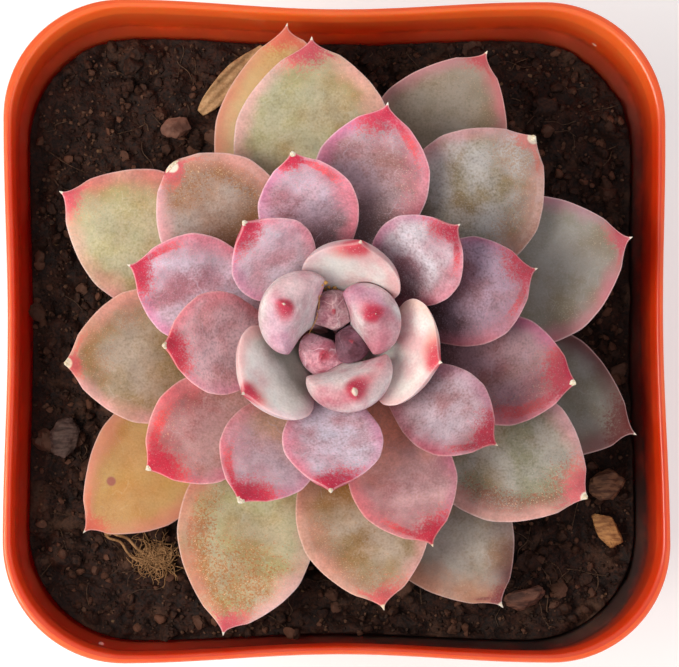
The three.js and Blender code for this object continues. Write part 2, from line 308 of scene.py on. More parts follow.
def new_group(name, inputs, outputs):
    """A group with named sockets: a colour starts as a hexadecimal code, a number as a number."""
    Bench.tree = bpy.data.node_groups.new(name, "ShaderNodeTree")
    for label, start in inputs.items():
        kind = "NodeSocketColor" if isinstance(start, str) else "NodeSocketFloat"
        socket = Bench.tree.interface.new_socket(label, in_out="INPUT", socket_type=kind)
        socket.default_value = paint(start) if isinstance(start, str) else start
    for label in outputs:
        kind = "NodeSocketColor" if label == "Color" else "NodeSocketFloat"
        Bench.tree.interface.new_socket(label, in_out="OUTPUT", socket_type=kind)
    return Output(Bench.tree.nodes.new("NodeGroupInput").outputs[0])


def finish_group(**results):
    fill(Bench.tree.nodes.new("NodeGroupOutput"), results)
    return Bench.tree


def spaced(values):
    return {label.replace("_", " "): value for label, value in values.items()}


def use(group, **values):
    """Places a group in a material, with its own values."""
    node = Bench.tree.nodes.new("ShaderNodeGroup")
    node.node_tree = group
    return Output(fill(node, spaced(values)).outputs[0])


def new_material(name, **constants):
    """Starts a material with one Principled shader, whose even values are set on its own sockets."""
    Bench.material = bpy.data.materials.new(name)
    Bench.material.use_nodes = True
    Bench.tree = Bench.material.node_tree
    Bench.tree.nodes.clear()
    shader = add("BsdfPrincipled", spaced(constants))
    end = Bench.tree.nodes.new("ShaderNodeOutputMaterial")
    fill(end, {"Surface": shader}).is_active_output = True
    return shader.socket.node


def finished(shader, color, roughness=None, height=None, depth=0.1, strength=0.6):
    """Feeds a pattern to the shader: its colour, its roughness and a relief in mm for a Bump node."""
    feeds = {"Base Color": color}
    if roughness:
        feeds["Roughness"] = roughness
    if height:
        feeds["Normal"] = add("Bump", {"Height": height, "Distance": depth * MM, "Strength": strength})
    fill(shader, feeds)
    return Bench.material


print("node helpers ready")

# %% [markdown]
# ## Stage and light
#
# The plant stands on a plain near-white floor that gives a little light itself, as a lit backdrop does. The
# light is that of a soft studio: a warm lamp low on the left gives the leaves their form, a wide cool one
# on the right and a small one in front open the shadows, and a pale sky fills in the rest. A sun would cut
# hard edges, and a sky alone would look flat.

# %% Floor, lamps and sky
KEY_COLOR = (1.0, 0.93, 0.84)
FILL_COLOR = (0.9, 0.94, 1.0)


def make_lamp(name, place, size, power, color):
    data = bpy.data.lights.new(name, "AREA")
    data.size = size
    data.energy = power
    data.color = color
    lamp = bpy.data.objects.new(name, data)
    lamp.location = place
    lamp.rotation_euler = (TARGET - Vector(place)).to_track_quat("-Z", "Y").to_euler()
    lamp.visible_camera = False
    bpy.context.scene.collection.objects.link(lamp)
    return lamp


def make_floor():
    half = 2500
    corners = [(-half, -half, 0), (half, -half, 0), (half, half, 0), (-half, half, 0)]
    floor = piece("floor", corners, [(0, 1, 2, 3)])
    shader = new_material("pale_floor", Roughness=0.9, Emission_Color="#ffffff", Emission_Strength=0.22)
    floor.data.materials.append(finished(shader, blend(mottle(300), "#f4f3f1", "#fbfaf8")))
    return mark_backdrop(floor)


def make_sky():
    world = bpy.data.worlds.new("pale_sky")
    world.use_nodes = True
    world.node_tree.nodes["Background"].inputs["Color"].default_value = paint("#f6f6f8")
    world.node_tree.nodes["Background"].inputs["Strength"].default_value = 0.58
    bpy.context.scene.world = world


make_floor()
make_sky()
make_lamp("key_lamp", (-0.29, -0.08, 0.43), 0.26, 1.9, KEY_COLOR)
make_lamp("fill_lamp", (0.8, -0.35, 0.75), 0.9, 1.8, FILL_COLOR)
make_lamp("front_lamp", (-0.1, -0.85, 0.4), 0.6, 0.7, FILL_COLOR)
bpy.context.scene.view_settings.view_transform = "Standard"
print("stage set")

# %% [markdown]
# ## Pot
#
# The pot is one thin moulding: a square with rounded corners that flares upwards, with a stepped collar, a
# rolled lip, a foot ring and five drain holes. It could be a box with bevels, but its sides bow inwards
# between the corners, so it is drawn as one outline at many heights. The outline follows the solid's rule,
# with more points, and the section's corners are rounded with small curves so that the lip catches a thin
# line of light.

# %% The pot's outline and section
RIM_WIDTH = 100
POT_HEIGHT = 86
BASE_WIDTH = 72
CORNER_RADIUS = 18
SIDE_BOW = (0.7, 1.3)
WALL = 1.1
COLLAR_FOOT = 75
WALL_TOP = RIM_WIDTH / 2 - 2.6
FLOOR_TOP = 3.6
DRAIN_RADIUS = 3.2
DRAIN_OFFSET = 21


def pot_outline(half_width, z, per_side, per_corner):
    """The rounded square of the pot at one height, as rows of x, y and z."""
    share = half_width / (RIM_WIDTH / 2)
    radius = CORNER_RADIUS * share
    straight = half_width - radius
    along = np.arange(per_side) / per_side
    angle = np.arange(per_corner) / per_corner * math.pi / 2
    v = straight * (2 * along - 1)
    points = []
    for side in range(4):
        bow = SIDE_BOW[side % 2] * (z / POT_HEIGHT) * share**2
        out = half_width - bow * np.cos(v / max(straight, 1e-9) * math.pi / 2) ** 2
        u = np.concatenate([out, straight + radius * np.cos(angle)])
        w = np.concatenate([v, straight + radius * np.sin(angle)])
        turn = side * math.pi / 2
        x = u * math.cos(turn) - w * math.sin(turn)
        y = u * math.sin(turn) + w * math.cos(turn)
        points.append(np.stack([x, y, np.full_like(x, z)], -1))
    return np.concatenate(points)


def rounded(section, radius, steps=4):
    """A closed section with each corner replaced by a small curve."""
    section = np.asarray(section, float)
    curve = []
    for i, corner in enumerate(section):
        before = section[i - 1] - corner
        after = section[(i + 1) % len(section)] - corner
        reach_before = min(radius, np.linalg.norm(before) / 2.2)
        reach_after = min(radius, np.linalg.norm(after) / 2.2)
        start = corner + before / np.linalg.norm(before) * reach_before
        end = corner + after / np.linalg.norm(after) * reach_after
        for t in np.linspace(0, 1, steps):
            curve.append((1 - t) ** 2 * start + 2 * t * (1 - t) * corner + t**2 * end)
    return curve


def pot_section():
    rim = RIM_WIDTH / 2
    base = BASE_WIDTH / 2
    return [
        (base - 4, 2.2), (base - 3, 0), (base - 0.6, 0), (base, 0.6),
        (WALL_TOP, COLLAR_FOOT - 1.2), (WALL_TOP + WALL, COLLAR_FOOT),
        (rim - 0.7, POT_HEIGHT - 1.7), (rim, POT_HEIGHT - 1.3), (rim, POT_HEIGHT - 0.15),
        (rim - 0.6, POT_HEIGHT), (rim - 1.2, POT_HEIGHT - 0.15), (rim - 1.9, POT_HEIGHT - 2.2),
        (WALL_TOP + 0.2, COLLAR_FOOT + 0.8), (WALL_TOP - WALL, COLLAR_FOOT - WALL), (base - WALL, FLOOR_TOP),
    ]


# %% The pot's mesh, with its drain holes
def cut(thing, tool):
    """Takes one object's shape out of another and removes the tool."""
    step = thing.modifiers.new("cut", "BOOLEAN")
    step.solver = "MANIFOLD"
    step.operation = "DIFFERENCE"
    step.object = tool
    shape = bpy.data.meshes.new_from_object(thing.evaluated_get(bpy.context.evaluated_depsgraph_get()))
    thing.modifiers.clear()
    thing.data = shape
    bpy.data.objects.remove(tool)
    return thing


def drill(x, y):
    angle = circle(48)
    ring = np.stack([x + DRAIN_RADIUS * np.cos(angle), y + DRAIN_RADIUS * np.sin(angle)], -1)
    return lofted("drill", [np.column_stack([ring, np.full(48, z)]) for z in (-1, 2 * FLOOR_TOP)])


def make_pot():
    rings = [pot_outline(half, z, 36, 30) for half, z in rounded(pot_section(), 0.45)]
    pot = lofted("square_pot", rings)
    for x, y in ((0, 0), (1, 0), (-1, 0), (0, 1), (0, -1)):
        cut(pot, drill(x * DRAIN_OFFSET, y * DRAIN_OFFSET))
    pot.data.shade_smooth()
    return pot


pot = make_pot()
print("pot", len(pot.data.polygons), "faces")

# %% [markdown]
# ## Grain, specks and dust
#
# Three effects turn up on more than one surface: a fine grain, small loose specks, and a veil of dust that
# gathers where surfaces face up. Each is a node group with named sockets, built once and placed in each
# material with its own values. A picture of dust would repeat and would need unwrapping; noise in three
# dimensions needs neither.

# %% The shared groups
def grain_group():
    given = new_group("Fine grain", {"Size mm": 0.3, "Patch mm": 4.0}, ["Grain"])
    return finish_group(Grain=mottle(given["Size mm"], 3) * 0.6 + mottle(given["Patch mm"]) * 0.4)


def speck_group():
    given = new_group("Loose specks", {"Spacing mm": 3.0, "Size mm": 0.3, "Share": 0.3}, ["Specks"])
    bend = add("TexNoise", {"Vector": surface_place(), "Scale": 900, "Detail": 2})["Color"]
    bent = vectors("ADD", surface_place(), vectors("MULTIPLY", bend, (0.0006, 0.0006, 0.0006)))
    cells = add("TexVoronoi", {"Vector": bent, "Scale": per_mm(given["Spacing mm"])})
    reach = given["Size mm"] / given["Spacing mm"]
    chosen = calc("LESS_THAN", add("SeparateColor", {0: cells["Color"]}), given["Share"])
    return finish_group(Specks=fade(cells, reach, reach * 0.6) * chosen)


def dust_group():
    given = new_group("Settled dust", {"Amount": 0.3, "Patch mm": 12.0}, ["Dust"])
    upward = add("SeparateXYZ", {0: add("NewGeometry")["Normal"]})["Z"]
    cover = fade(mottle(given["Patch mm"], 6, 0.65), 0.4, 0.75) * (fade(upward, -0.2, 0.9) + 0.35)
    return finish_group(Dust=clamped(cover * given["Amount"]))


GRAIN = grain_group()
SPECKS = speck_group()
DUST = dust_group()
print("groups:", GRAIN.name, SPECKS.name, DUST.name)

# %% [markdown]
# ## Plastic
#
# The pot's plastic is a saturated orange red with a soft gloss, so thin that light seeps through it: a
# little subsurface scattering gives that. Flat orange would look like a toy, so the colour follows the
# place, with light and shade painted in. Below the lip the outside is painted deeper, as shade on the
# sides; the inside is painted redder and darker as shade, and the far wall's top, which the light
# reaches, is painted bright orange. A ragged dark sheet of painted shade covers the inner walls, darkest
# on the right and near sides and down at the ledge. Pale dust and perlite specks cling on.

# %% The pot's plastic
def plastic_material():
    # Heights and places are in metres: the rim is at 0.086 and the ledge inside at 0.075
    shader = new_material(
        "orange_plastic", Subsurface_Weight=0.7, Subsurface_Radius=(1.0, 0.2, 0.06), Subsurface_Scale=0.005,
        Coat_Weight=0.4, Coat_Roughness=0.12)
    spot = coordinates()
    level = vectors("MULTIPLY", surface_place(), (1, 1, 0))
    outward = vectors("DOT_PRODUCT", add("NewGeometry")["Normal"], level)["Value"]
    inside = calc("LESS_THAN", outward, 0)
    # Masks for painted light and shade: the far wall's top, which the light reaches, and the shaded right and
    # near sides
    lit_far_wall = fade(spot["Y"], 0.025, 0.045)
    shaded_side = fade(spot["X"] - spot["Y"] * 0.6, -0.01, 0.04)

    color = blend(fade(mottle(30, 3), 0.35, 0.7), "#da5416", "#e6621f")
    # Painted shade: the inside is redder and darker, less so on the lit far wall
    color = blend(inside * (0.7 - lit_far_wall * 0.5), color, "#bb2506")
    # Painted shade: the outside walls are deeper below the lip, as they face away from the light
    color = blend((1 - inside) * fade(spot["Z"], 0.0845, 0.0825) * 0.75, color, "#c4380c")
    # A painted highlight: bright orange on the far wall's top, where the light reaches
    color = blend(inside * (lit_far_wall * fade(spot["Z"], 0.0785, 0.0835)) * 0.75, color, "#f0702c")

    # A ragged dark sheet of painted shade over the inner walls: darkest on the shaded right and near sides
    # and down at the ledge, less on the lit far wall
    ragged = spot["Z"] + (mottle(5, 4, 0.6) - 0.5) * 0.006
    shade_film = fade(ragged, 0.0856, 0.0752) * ((shaded_side * 0.52 + 0.2) * (1 - lit_far_wall * 0.7))
    ledge = fade(ragged, 0.0785, 0.0745) * (lit_far_wall * 0.2 + 0.3)
    shade_film = clamped(shade_film + ledge) * inside
    color = blend(shade_film, color, "#1f0a06")
    color = blend(use(DUST, Amount=0.06, Patch_mm=9.0), color, "#d8a488")
    color = blend(use(SPECKS, Spacing_mm=5.0, Size_mm=0.5, Share=0.12) * 0.7, color, "#e9ddd0")
    grain = use(GRAIN, Size_mm=0.5, Patch_mm=6.0)
    rough = clamped(grain * 0.12 + 0.25 + shade_film * 0.4)
    return finished(shader, color, rough, grain, depth=0.05, strength=0.25)


dress(pot, plastic_material(), "pot_plastic", "pot")
print("pot dressed")

# %% [markdown]
# ## Soil
#
# Potting mix is a jumble of peat crumbs, bark dust and fibres, almost black when damp. A displaced plane
# alone looks like rubber, and a heap of loose grains alone would need far too many. So the ground is a fine
# mesh that follows the solid's waves and lumps and adds a rough relief, and crumbs and grit in three
# dimensions lie scattered over it.

# %% The soil's surface
SOIL_LEVEL = 74.5
LUMP_COUNT = 420
LUMP_RADIUS = (1.2, 3.8)
BARE_AROUND_STEM = 16
BED_EDGE = 3
SOIL_EDGE = 45.9
SOIL_FOOT = 34.65
GAP = 0.3
BEDS = {
    "bark_chip_1": (41.6, -22.3, 4),
    "bark_chip_2": (41.6, -29.2, 5),
    "bark_chip_3": (-40.6, -15.6, 5),
    "bark_chip_4": (28.9, -39.6, 5),
    "pebble": (-23.7, 31.8, 4),
    "withered_leaf": (-15.2, 39.4, 9),
    "dry_root": (-29.5, -33, 8),
}


def soil_lumps():
    draw = draws(11)
    lumps = []
    for _ in range(LUMP_COUNT):
        x = (2 * next(draw) - 1) * WALL_TOP
        y = (2 * next(draw) - 1) * WALL_TOP
        radius = LUMP_RADIUS[0] + (LUMP_RADIUS[1] - LUMP_RADIUS[0]) * next(draw) ** 2
        lumps.append((x, y, radius, radius * (0.3 + 0.35 * next(draw))))
    return [lump for lump in lumps if math.hypot(lump[0], lump[1]) > BARE_AROUND_STEM]


def soil_waves(x, y):
    return SOIL_LEVEL + 0.5 * np.sin(x / 9 + 1) * np.cos(y / 7) + 0.35 * np.sin(y / 4 + x / 6)


def soil_height(x, y, lumps):
    """The solid's own height: slow waves, rounded lumps, and flat beds under what lies on the soil."""
    lump = np.zeros_like(x)
    for lump_x, lump_y, radius, rise in lumps:
        near = 1 - ((x - lump_x) ** 2 + (y - lump_y) ** 2) / radius**2
        lump = np.maximum(lump, rise * np.sqrt(np.maximum(near, 0)))
    height = soil_waves(x, y) + lump
    for bed_x, bed_y, radius in BEDS.values():
        share = np.clip((np.hypot(x - bed_x, y - bed_y) - radius) / BED_EDGE, 0, 1)
        height = share * height + (1 - share) * soil_waves(bed_x, bed_y)
    return height


LUMPS = soil_lumps()


def heaped(x, y, size):
    """Small rounded heaps side by side, about that wide: 1 at the top of each and 0 between them."""
    nearest = noise.voronoi(Vector((x / size, y / size, 0.4)))[0][0]
    return max(0.0, 1 - (nearest / 0.7) ** 2)


def rough_height(x, y):
    """The solid's height with crumbly relief on it, sunk a little so that the mean stays the same."""
    height = soil_height(x, y, LUMPS)
    relief = []
    for px, py in zip(x.ravel(), y.ravel()):
        coarse = noise.turbulence(Vector((px / 3.2, py / 3.2, 0)), 3, False)
        relief.append(0.8 * coarse + 0.55 * heaped(px, py, 2.4) + 0.25 * heaped(py, px, 1.1) - 0.8)
    return height + np.array(relief).reshape(x.shape)


# %% The ground's mesh
def make_ground():
    shares = np.concatenate([np.linspace(1, 0.5, 84), np.linspace(0.47, 0.03, 12)])
    across = (80, 64)
    rings = [pot_outline(SOIL_FOOT, FLOOR_TOP + GAP, *across)]
    rings.append(pot_outline(SOIL_EDGE, SOIL_LEVEL - 1.2, *across))
    for share in shares:
        ring = pot_outline(SOIL_EDGE * share, SOIL_LEVEL, *across)
        ring[:, 2] = rough_height(ring[:, 0], ring[:, 1])
        rings.append(ring)
    return lofted("ground", rings)


ground = make_ground()
print("ground", len(ground.data.polygons), "faces")

# %% [markdown]
# ## Crumbs and grit
#
# Each crumb is a small ball pressed flat on a few random sides, as a broken lump is, then turned and laid
# half in the ground. Round balls would look like beads. The crumbs could be instances, which cost nothing
# to store, but an exported part keeps only real meshes, so they are joined in three: clods, crumbs, and
# grit with twenty faces a grain.

# %% Crumbs and grit strewn over the ground
def ball(detail):
    """Points and triangles of a unit icosphere."""
    shape = bmesh.new()
    bmesh.ops.create_icosphere(shape, subdivisions=detail, radius=1)
    points = np.array([vertex.co for vertex in shape.verts])
    faces = np.array([[vertex.index for vertex in face.verts] for face in shape.faces])
    shape.free()
    return points, faces


def pressed(points, sides, roll, depth):
    """Presses a ball flat on a few random sides, and leaves the rest smooth."""
    shaped = points
    for _ in range(sides):
        facing = roll.standard_normal(3)
        facing /= np.linalg.norm(facing)
        beyond = np.maximum(shaped @ facing - roll.uniform(*depth), 0)
        shaped = shaped - 0.92 * beyond[:, None] * facing
    return shaped


def broken(points, sides, roll, depth=(0.45, 0.85)):
    """A rough lump: a ball with small bumps, pressed flat on its sides."""
    return pressed(points * (1 + 0.1 * roll.standard_normal((len(points), 1))), sides, roll, depth)


SOIL_CORNER = CORNER_RADIUS * 0.92
ROSETTE_HIDES = 22


def strewn(name, count, sizes, detail, seed, sink):
    """Many small lumps joined in one piece, lying on the ground where the rosette doesn't hide it."""
    roll = np.random.default_rng(seed)
    points, faces = ball(detail)
    places = []
    while len(places) < count:
        x, y = roll.uniform(-SOIL_EDGE, SOIL_EDGE, 2)
        corner = SOIL_EDGE - SOIL_CORNER
        beyond = math.hypot(max(abs(x) - corner, 0), max(abs(y) - corner, 0))
        if beyond < SOIL_CORNER - 0.8 and max(abs(x), abs(y)) > ROSETTE_HIDES:
            places.append((x, y))
    places = np.array(places)
    heights = rough_height(places[:, 0], places[:, 1])
    all_points = []
    all_faces = []
    for number, ((x, y), z) in enumerate(zip(places, heights)):
        size = sizes[0] + (sizes[1] - sizes[0]) * roll.random() ** 2
        lump = broken(points, 7, roll) * size / 2 * roll.uniform(0.75, 1.25, 3)
        turn = np.array(Euler(roll.uniform(0, 6.3, 3)).to_matrix())
        all_points.append(lump @ turn.T + (x, y, z + size * sink))
        all_faces.append(faces + number * len(points))
    heap = piece(name, np.concatenate(all_points), np.concatenate(all_faces).tolist())
    heap.data.set_sharp_from_angle(angle=math.radians(40))
    store(heap.data, {"crumb_tone": np.repeat(roll.random(count), len(points))})
    return heap


clods = strewn("soil_clods", 230, (1.8, 3.8), 3, 23, 0.02)
crumbs = strewn("soil_crumbs", 1300, (0.8, 2.0), 2, 21, 0.12)
grit = strewn("soil_grit", 5200, (0.35, 0.9), 1, 22, 0.25)
for heap in (clods, crumbs, grit):
    print(heap.name, len(heap.data.polygons), "faces")


# %% The soil's material
def soil_material(name, dark, brown, clod, depth, loose=True):
    """Damp peat. Each loose lump has a tone of its own, and the ground has patches."""
    shader = new_material(name, Specular_IOR_Level=0.25)
    grain = use(GRAIN, Size_mm=0.45, Patch_mm=2.4)
    tone = stored("crumb_tone") if loose else mottle(6, 3)
    start = 0.7 if loose else 0.66
    color = blend(fade(grain, 0.38, 0.66), dark, brown)
    color = blend(fade(tone + grain * 0.3, start, start + 0.4), color, clod)
    color = blend(use(SPECKS, Spacing_mm=2.2, Size_mm=0.35, Share=0.1) * 0.5, color, "#8a6a4c")
    return finished(shader, color, grain * 0.3 + 0.6, grain, depth=depth, strength=0.8)


damp_soil = soil_material("damp_soil", "#160a06", "#371d13", "#5c4030", 0.5, loose=False)
dress(ground, damp_soil, "potting_soil", "soil")
dress(clods, soil_material("soil_clod", "#20110b", "#3d251a", "#56392c", 0.4), "potting_soil")
dress(crumbs, soil_material("soil_crumb", "#22120c", "#42281b", "#5c3b2c", 0.3), "potting_soil")
dress(grit, soil_material("soil_grit", "#20140e", "#3c281d", "#5c4030", 0.2), "potting_soil")
print("soil dressed")

# %% [markdown]
# ## Leaves
#
# A leaf of this plant is a thick pointed spoon: narrow at the root, broadest two thirds out, then drawn in
# to a small horny tip. Each grows 138.5 degrees on from the one before, and the older it is, the longer and
# flatter it lies. Sculpting thirty-six leaves by hand would lose that order. So the solid's own rule is
# used again, with smooth curves through its stations, five times as many points, a crisp margin, a separate
# horny tip and soft dents.

# %% The rosette's rule
PLANT_PLACE = np.array((0.4, -0.6, SOIL_LEVEL))
PLANT_LEAN = np.array(Euler((math.radians(4), math.radians(-3), 0)).to_matrix())
STEM_RADIUS = 4.4
STEM_TOP = 21
STEM_BURIED = 11
LOWEST_ROOT = 3.6
FIRST_AZIMUTH = 323
DIVERGENCE = 138.5
STEEPEST = 78
FLATTEST = 10
OPENING = 13
BUD_COUNT = 3
HEART_COUNT = 9

# Reach from the axis, greatest width, stray from the spiral, extra lift and sideways sweep, youngest first
LEAVES = [
    (2.5, 6.6, 8, 0, 0), (3.6, 7.6, -3, 0, 0), (3.9, 8.4, -6, 0, 0),
    (6.1, 11.4, 8, 5, 0), (8.9, 13.6, -4, 5, 0), (9, 14, -10, 6, 0),
    (13.9, 16.2, 2, -3, 0), (16.8, 16.8, 0, -5, 0), (15.9, 17.6, -7, -4, 0),
    (21.5, 13.8, 1, 0, 0), (23.6, 15.4, -1, 0, 0), (23.9, 14.8, -3, 0, -2),
    (26.1, 15.8, -1, 0, 0), (28.6, 13.6, 1, 0, 0), (28, 15.2, 0, 0, 2),
    (29.2, 15.2, -1, 0, 0), (31, 16.4, -1, 0, 0), (32.6, 16.6, 4, 0, 0),
    (34.3, 16.2, -1, 0, -1), (35.2, 17.8, 3, 0, 0), (35, 16.4, 2, 0, 0),
    (36.6, 17, -3, 0, 0), (36.8, 19.6, 4, 0, 0), (41.2, 19.8, 8, 0, 3),
    (42.5, 21.6, -2, 0, 0), (41.2, 20.8, 0, 0, 0), (44.8, 21.6, 0, 0, 3),
    (44.9, 24, -4, 0, -4), (47.5, 21.4, 1, 0, 7), (46.7, 22.6, -1, -1, 0),
    (46.7, 21, -6, 0, 0), (47.4, 19.8, 2, -1.5, 3), (48.8, 21.2, -11, -2.8, -2),
    (47.7, 19, -3, 0, 7), (47.4, 19.4, -3, -2.5, -7), (47.9, 20, -20, 0, -12),
]

# Place along the leaf, share of its greatest width, share of its thickness
PROFILE = np.array([
    (0, 0.22, 0.52), (0.12, 0.27, 0.6), (0.26, 0.46, 0.76), (0.4, 0.75, 0.94), (0.52, 0.94, 1),
    (0.62, 1, 1), (0.72, 0.96, 0.96), (0.8, 0.81, 0.86), (0.88, 0.55, 0.7), (0.94, 0.29, 0.46),
    (0.975, 0.12, 0.24), (1, 0, 0.08),
])


class Leaf:
    """The sizes of one leaf, by its number in the spiral from the youngest."""

    def __init__(self, number):
        reach, width, stray, lift, sweep = LEAVES[number]
        self.number = number
        self.width = width
        self.root = STEM_RADIUS * (1 - math.exp(-(number + 1.2) / 6))
        self.foot = STEM_TOP - (STEM_TOP - LOWEST_ROOT) * (number / (len(LEAVES) - 1)) ** 1.1
        upright = math.exp(-((number / OPENING) ** 1.3))
        self.rise = math.radians(FLATTEST + (STEEPEST - FLATTEST) * upright + lift)
        self.length = (reach - self.root) / math.cos(self.rise)
        self.curl = math.radians(14 + (34 if number < 2 * BUD_COUNT else 12) * math.exp(-number / 9))
        self.azimuth = math.radians(FIRST_AZIMUTH + DIVERGENCE * number + stray)
        self.sweep = math.radians(sweep)
        self.thick = width * (0.21 + 0.6 * math.exp(-((number / 5) ** 1.6)))
        self.upper = 0.24 + 0.28 * math.exp(-number / 6)
        self.pointed = 1 + 0.7 * math.exp(-((number / 12) ** 2))
        self.drawn_in = 1.6 if number < 2 * BUD_COUNT else 1.0
        self.wrap = 0.9 * (1 - 0.7 * math.exp(-number / 2))
        self.taper = 8.0 if 2 * BUD_COUNT <= number < HEART_COUNT else 2.6
        if HEART_COUNT <= number < 2 * HEART_COUNT:
            self.taper = 6.0
        self.brim = 1.45 if number < 2 * BUD_COUNT else 1.25
        self.keel = 1.45 if number < 2 * BUD_COUNT else 1.9

    def centre(self, along):
        """The centreline: an arc in the upright plane through the plant's axis."""
        radius = self.length / 2 / math.sin(self.curl / 2)
        start = self.rise - self.curl / 2
        pitch = start + self.curl * along
        out = self.root + radius * (np.sin(pitch) - math.sin(start))
        up = self.foot + radius * (math.cos(start) - np.cos(pitch))
        return out, up, pitch

    def place(self, along, across, above):
        """Points of the leaf from their place along it, across it and above its centreline."""
        out, up, pitch = self.centre(along)
        out = out - above * np.sin(pitch)
        azimuth = self.azimuth + self.sweep * along**2
        x = out * np.cos(azimuth) - across * np.sin(azimuth)
        y = out * np.sin(azimuth) + across * np.cos(azimuth)
        return np.stack([x, y, up + above * np.cos(pitch)], -1) @ PLANT_LEAN.T + PLANT_PLACE


print(len(LEAVES), "leaves,", round(Leaf(30).length, 1), "mm long at the edge of the rosette")

# %% [markdown]
# ## One leaf's skin
#
# The stations are joined by a smooth curve that never overshoots. Near its end the blade is drawn in early,
# and a small cone takes its place: the horny tip. A worn leaf ends blunt, a little short of its tip. The
# mesh also stores five numbers at each point, which the colours are painted by: its distance from the tip
# and from either margin in millimetres, its place along the leaf, and which face it is on. They could be
# painted by hand as weights, but stored distances give every leaf the same true scale.

# %% Smooth profile and leaf skin
LEAF_ROWS = 72
LEAF_AROUND = 64
BEAK_LENGTH = 1.7
BEAK_RADIUS = 0.5
CUP = 0.022
WIDEST = 0.62

# How much of the tip is gone, the crust's length and width in mm, and the share of it that is a crater
WORN_TIPS = {
    9: (0.6, 1.0, 0.8, 0.5), 10: (0.5, 0.8, 0.7, 0), 12: (0.7, 1.1, 1.0, 0.6), 14: (0.7, 1.0, 0.9, 0.2),
    15: (0.9, 1.3, 1.3, 0.6), 20: (0.8, 1.2, 1.0, 0.3), 21: (1.0, 1.5, 1.15, 0.1), 22: (2.0, 1.9, 3.1, 0.3),
    24: (1.1, 1.6, 1.25, 0.1), 25: (0.9, 1.3, 1.1, 0.4), 26: (0.7, 1.1, 0.9, 0.1),
}


def smooth_through(xs, ys, at):
    """A curve through the stations that keeps between them, so it never bulges past a station."""
    slopes = np.diff(ys) / np.diff(xs)
    tangents = np.zeros_like(ys)
    same = slopes[:-1] * slopes[1:] > 0
    tangents[1:-1][same] = 2 / (1 / slopes[:-1][same] + 1 / slopes[1:][same])
    tangents[0], tangents[-1] = slopes[0], slopes[-1]
    i = np.clip(np.searchsorted(xs, at, side="right") - 1, 0, len(xs) - 2)
    step = xs[i + 1] - xs[i]
    t = (at - xs[i]) / step
    start = (1 + 2 * t) * (1 - t) ** 2 * ys[i] + t * (1 - t) ** 2 * step * tangents[i]
    return start + t**2 * (3 - 2 * t) * ys[i + 1] + t**2 * (t - 1) * step * tangents[i + 1]


def leaf_skin(leaf, swell=0.0, rows=LEAF_ROWS, around=LEAF_AROUND, dents=0.0):
    """Rings of points over the leaf, its tip, and the numbers stored at each point."""
    kept = 1 - WORN_TIPS[leaf.number][0] / leaf.length if leaf.number in WORN_TIPS else 1
    along = kept * (1 - (1 - np.linspace(0, 1, rows, endpoint=False)) ** 1.5)[:, None]
    to_tip = (1 - along) * leaf.length
    power = np.where(along < WIDEST, leaf.drawn_in, leaf.pointed)
    blade = smooth_through(PROFILE[:, 0], PROFILE[:, 1], along) ** power * leaf.width / 2
    blade = blade * np.clip((to_tip - 0.5) / 2.6, 0.0, 1) ** 0.75
    beak = BEAK_RADIUS * np.clip(to_tip / BEAK_LENGTH, 0.02, 1) ** 0.8
    half = np.hypot(blade, beak) + swell
    body = smooth_through(PROFILE[:, 0], PROFILE[:, 2], along) * leaf.thick
    body = body * np.clip((to_tip - 0.2) / leaf.taper, 0.0, 1) ** 0.6
    thick = np.hypot(body, 1.6 * beak) + 2 * swell
    angle = circle(around)[None, :]
    crisp = np.where(np.sin(angle) >= 0, leaf.brim, leaf.keel)
    sine = np.sign(np.sin(angle)) * np.abs(np.sin(angle)) ** crisp
    out, _, pitch = leaf.centre(along)
    bend = CUP + leaf.wrap * np.sin(np.minimum(pitch, math.pi / 2)) / np.maximum(out, 2.5)
    turned = bend * half * np.cos(angle)
    depth = thick * np.where(np.sin(angle) >= 0, leaf.upper, 1 - leaf.upper) * sine
    across = np.sin(turned) / bend - depth * np.sin(turned)
    above = (1 - np.cos(turned)) / bend + depth * np.cos(turned)
    if dents:
        above = above + dents * dented(leaf, along, across) * np.minimum(half / 4, 1)
    rings = leaf.place(np.broadcast_to(along, across.shape), across, above)
    end = leaf.place(np.array(kept), np.array(0.0), np.array(0.0))
    one = np.ones_like(angle)
    stored_values = {
        "leaf_tip_mm": np.linalg.norm(rings - end, axis=-1),
        "leaf_left_mm": half * (1 - np.cos(angle)),
        "leaf_right_mm": half * (1 + np.cos(angle)),
        "leaf_along": along * one,
        "leaf_face": np.sin(angle) * np.ones_like(along),
    }
    return rings, end, stored_values


def dented(leaf, along, across):
    """Soft dents where a leaf was pressed by its neighbours in the bud, between -1 and 1."""
    values = []
    for s, t in zip(np.broadcast_to(along, across.shape).ravel(), across.ravel()):
        values.append(noise.noise(Vector((s * leaf.length / 7, t / 5, leaf.number * 3.7))))
    return np.array(values).reshape(across.shape)


def with_ends(values):
    """Adds the numbers of the two fan centres, at the root and at the tip, to those of the rings."""
    full = {}
    for name, numbers in values.items():
        full[name] = np.concatenate([numbers.ravel(), [numbers[0].mean(), numbers[-1].mean()]])
    return full


# %% [markdown]
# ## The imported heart
#
# In the middle the youngest leaves still press on each other, and the pressed faces are flat. The buds are
# cut by slightly swollen copies of the leaves around them, as the solids were, and the next ring by the
# buds' neighbours. Cutting makes new points with no stored numbers, so each point of the cut leaf takes
# those of the nearest point of the whole one.

# %% Every leaf's mesh
SWELL = 0.12


def pressed_by(number):
    if number < BUD_COUNT:
        return range(number + 1, HEART_COUNT)
    if 2 * BUD_COUNT <= number < HEART_COUNT:
        return range(BUD_COUNT, 2 * BUD_COUNT)
    return ()


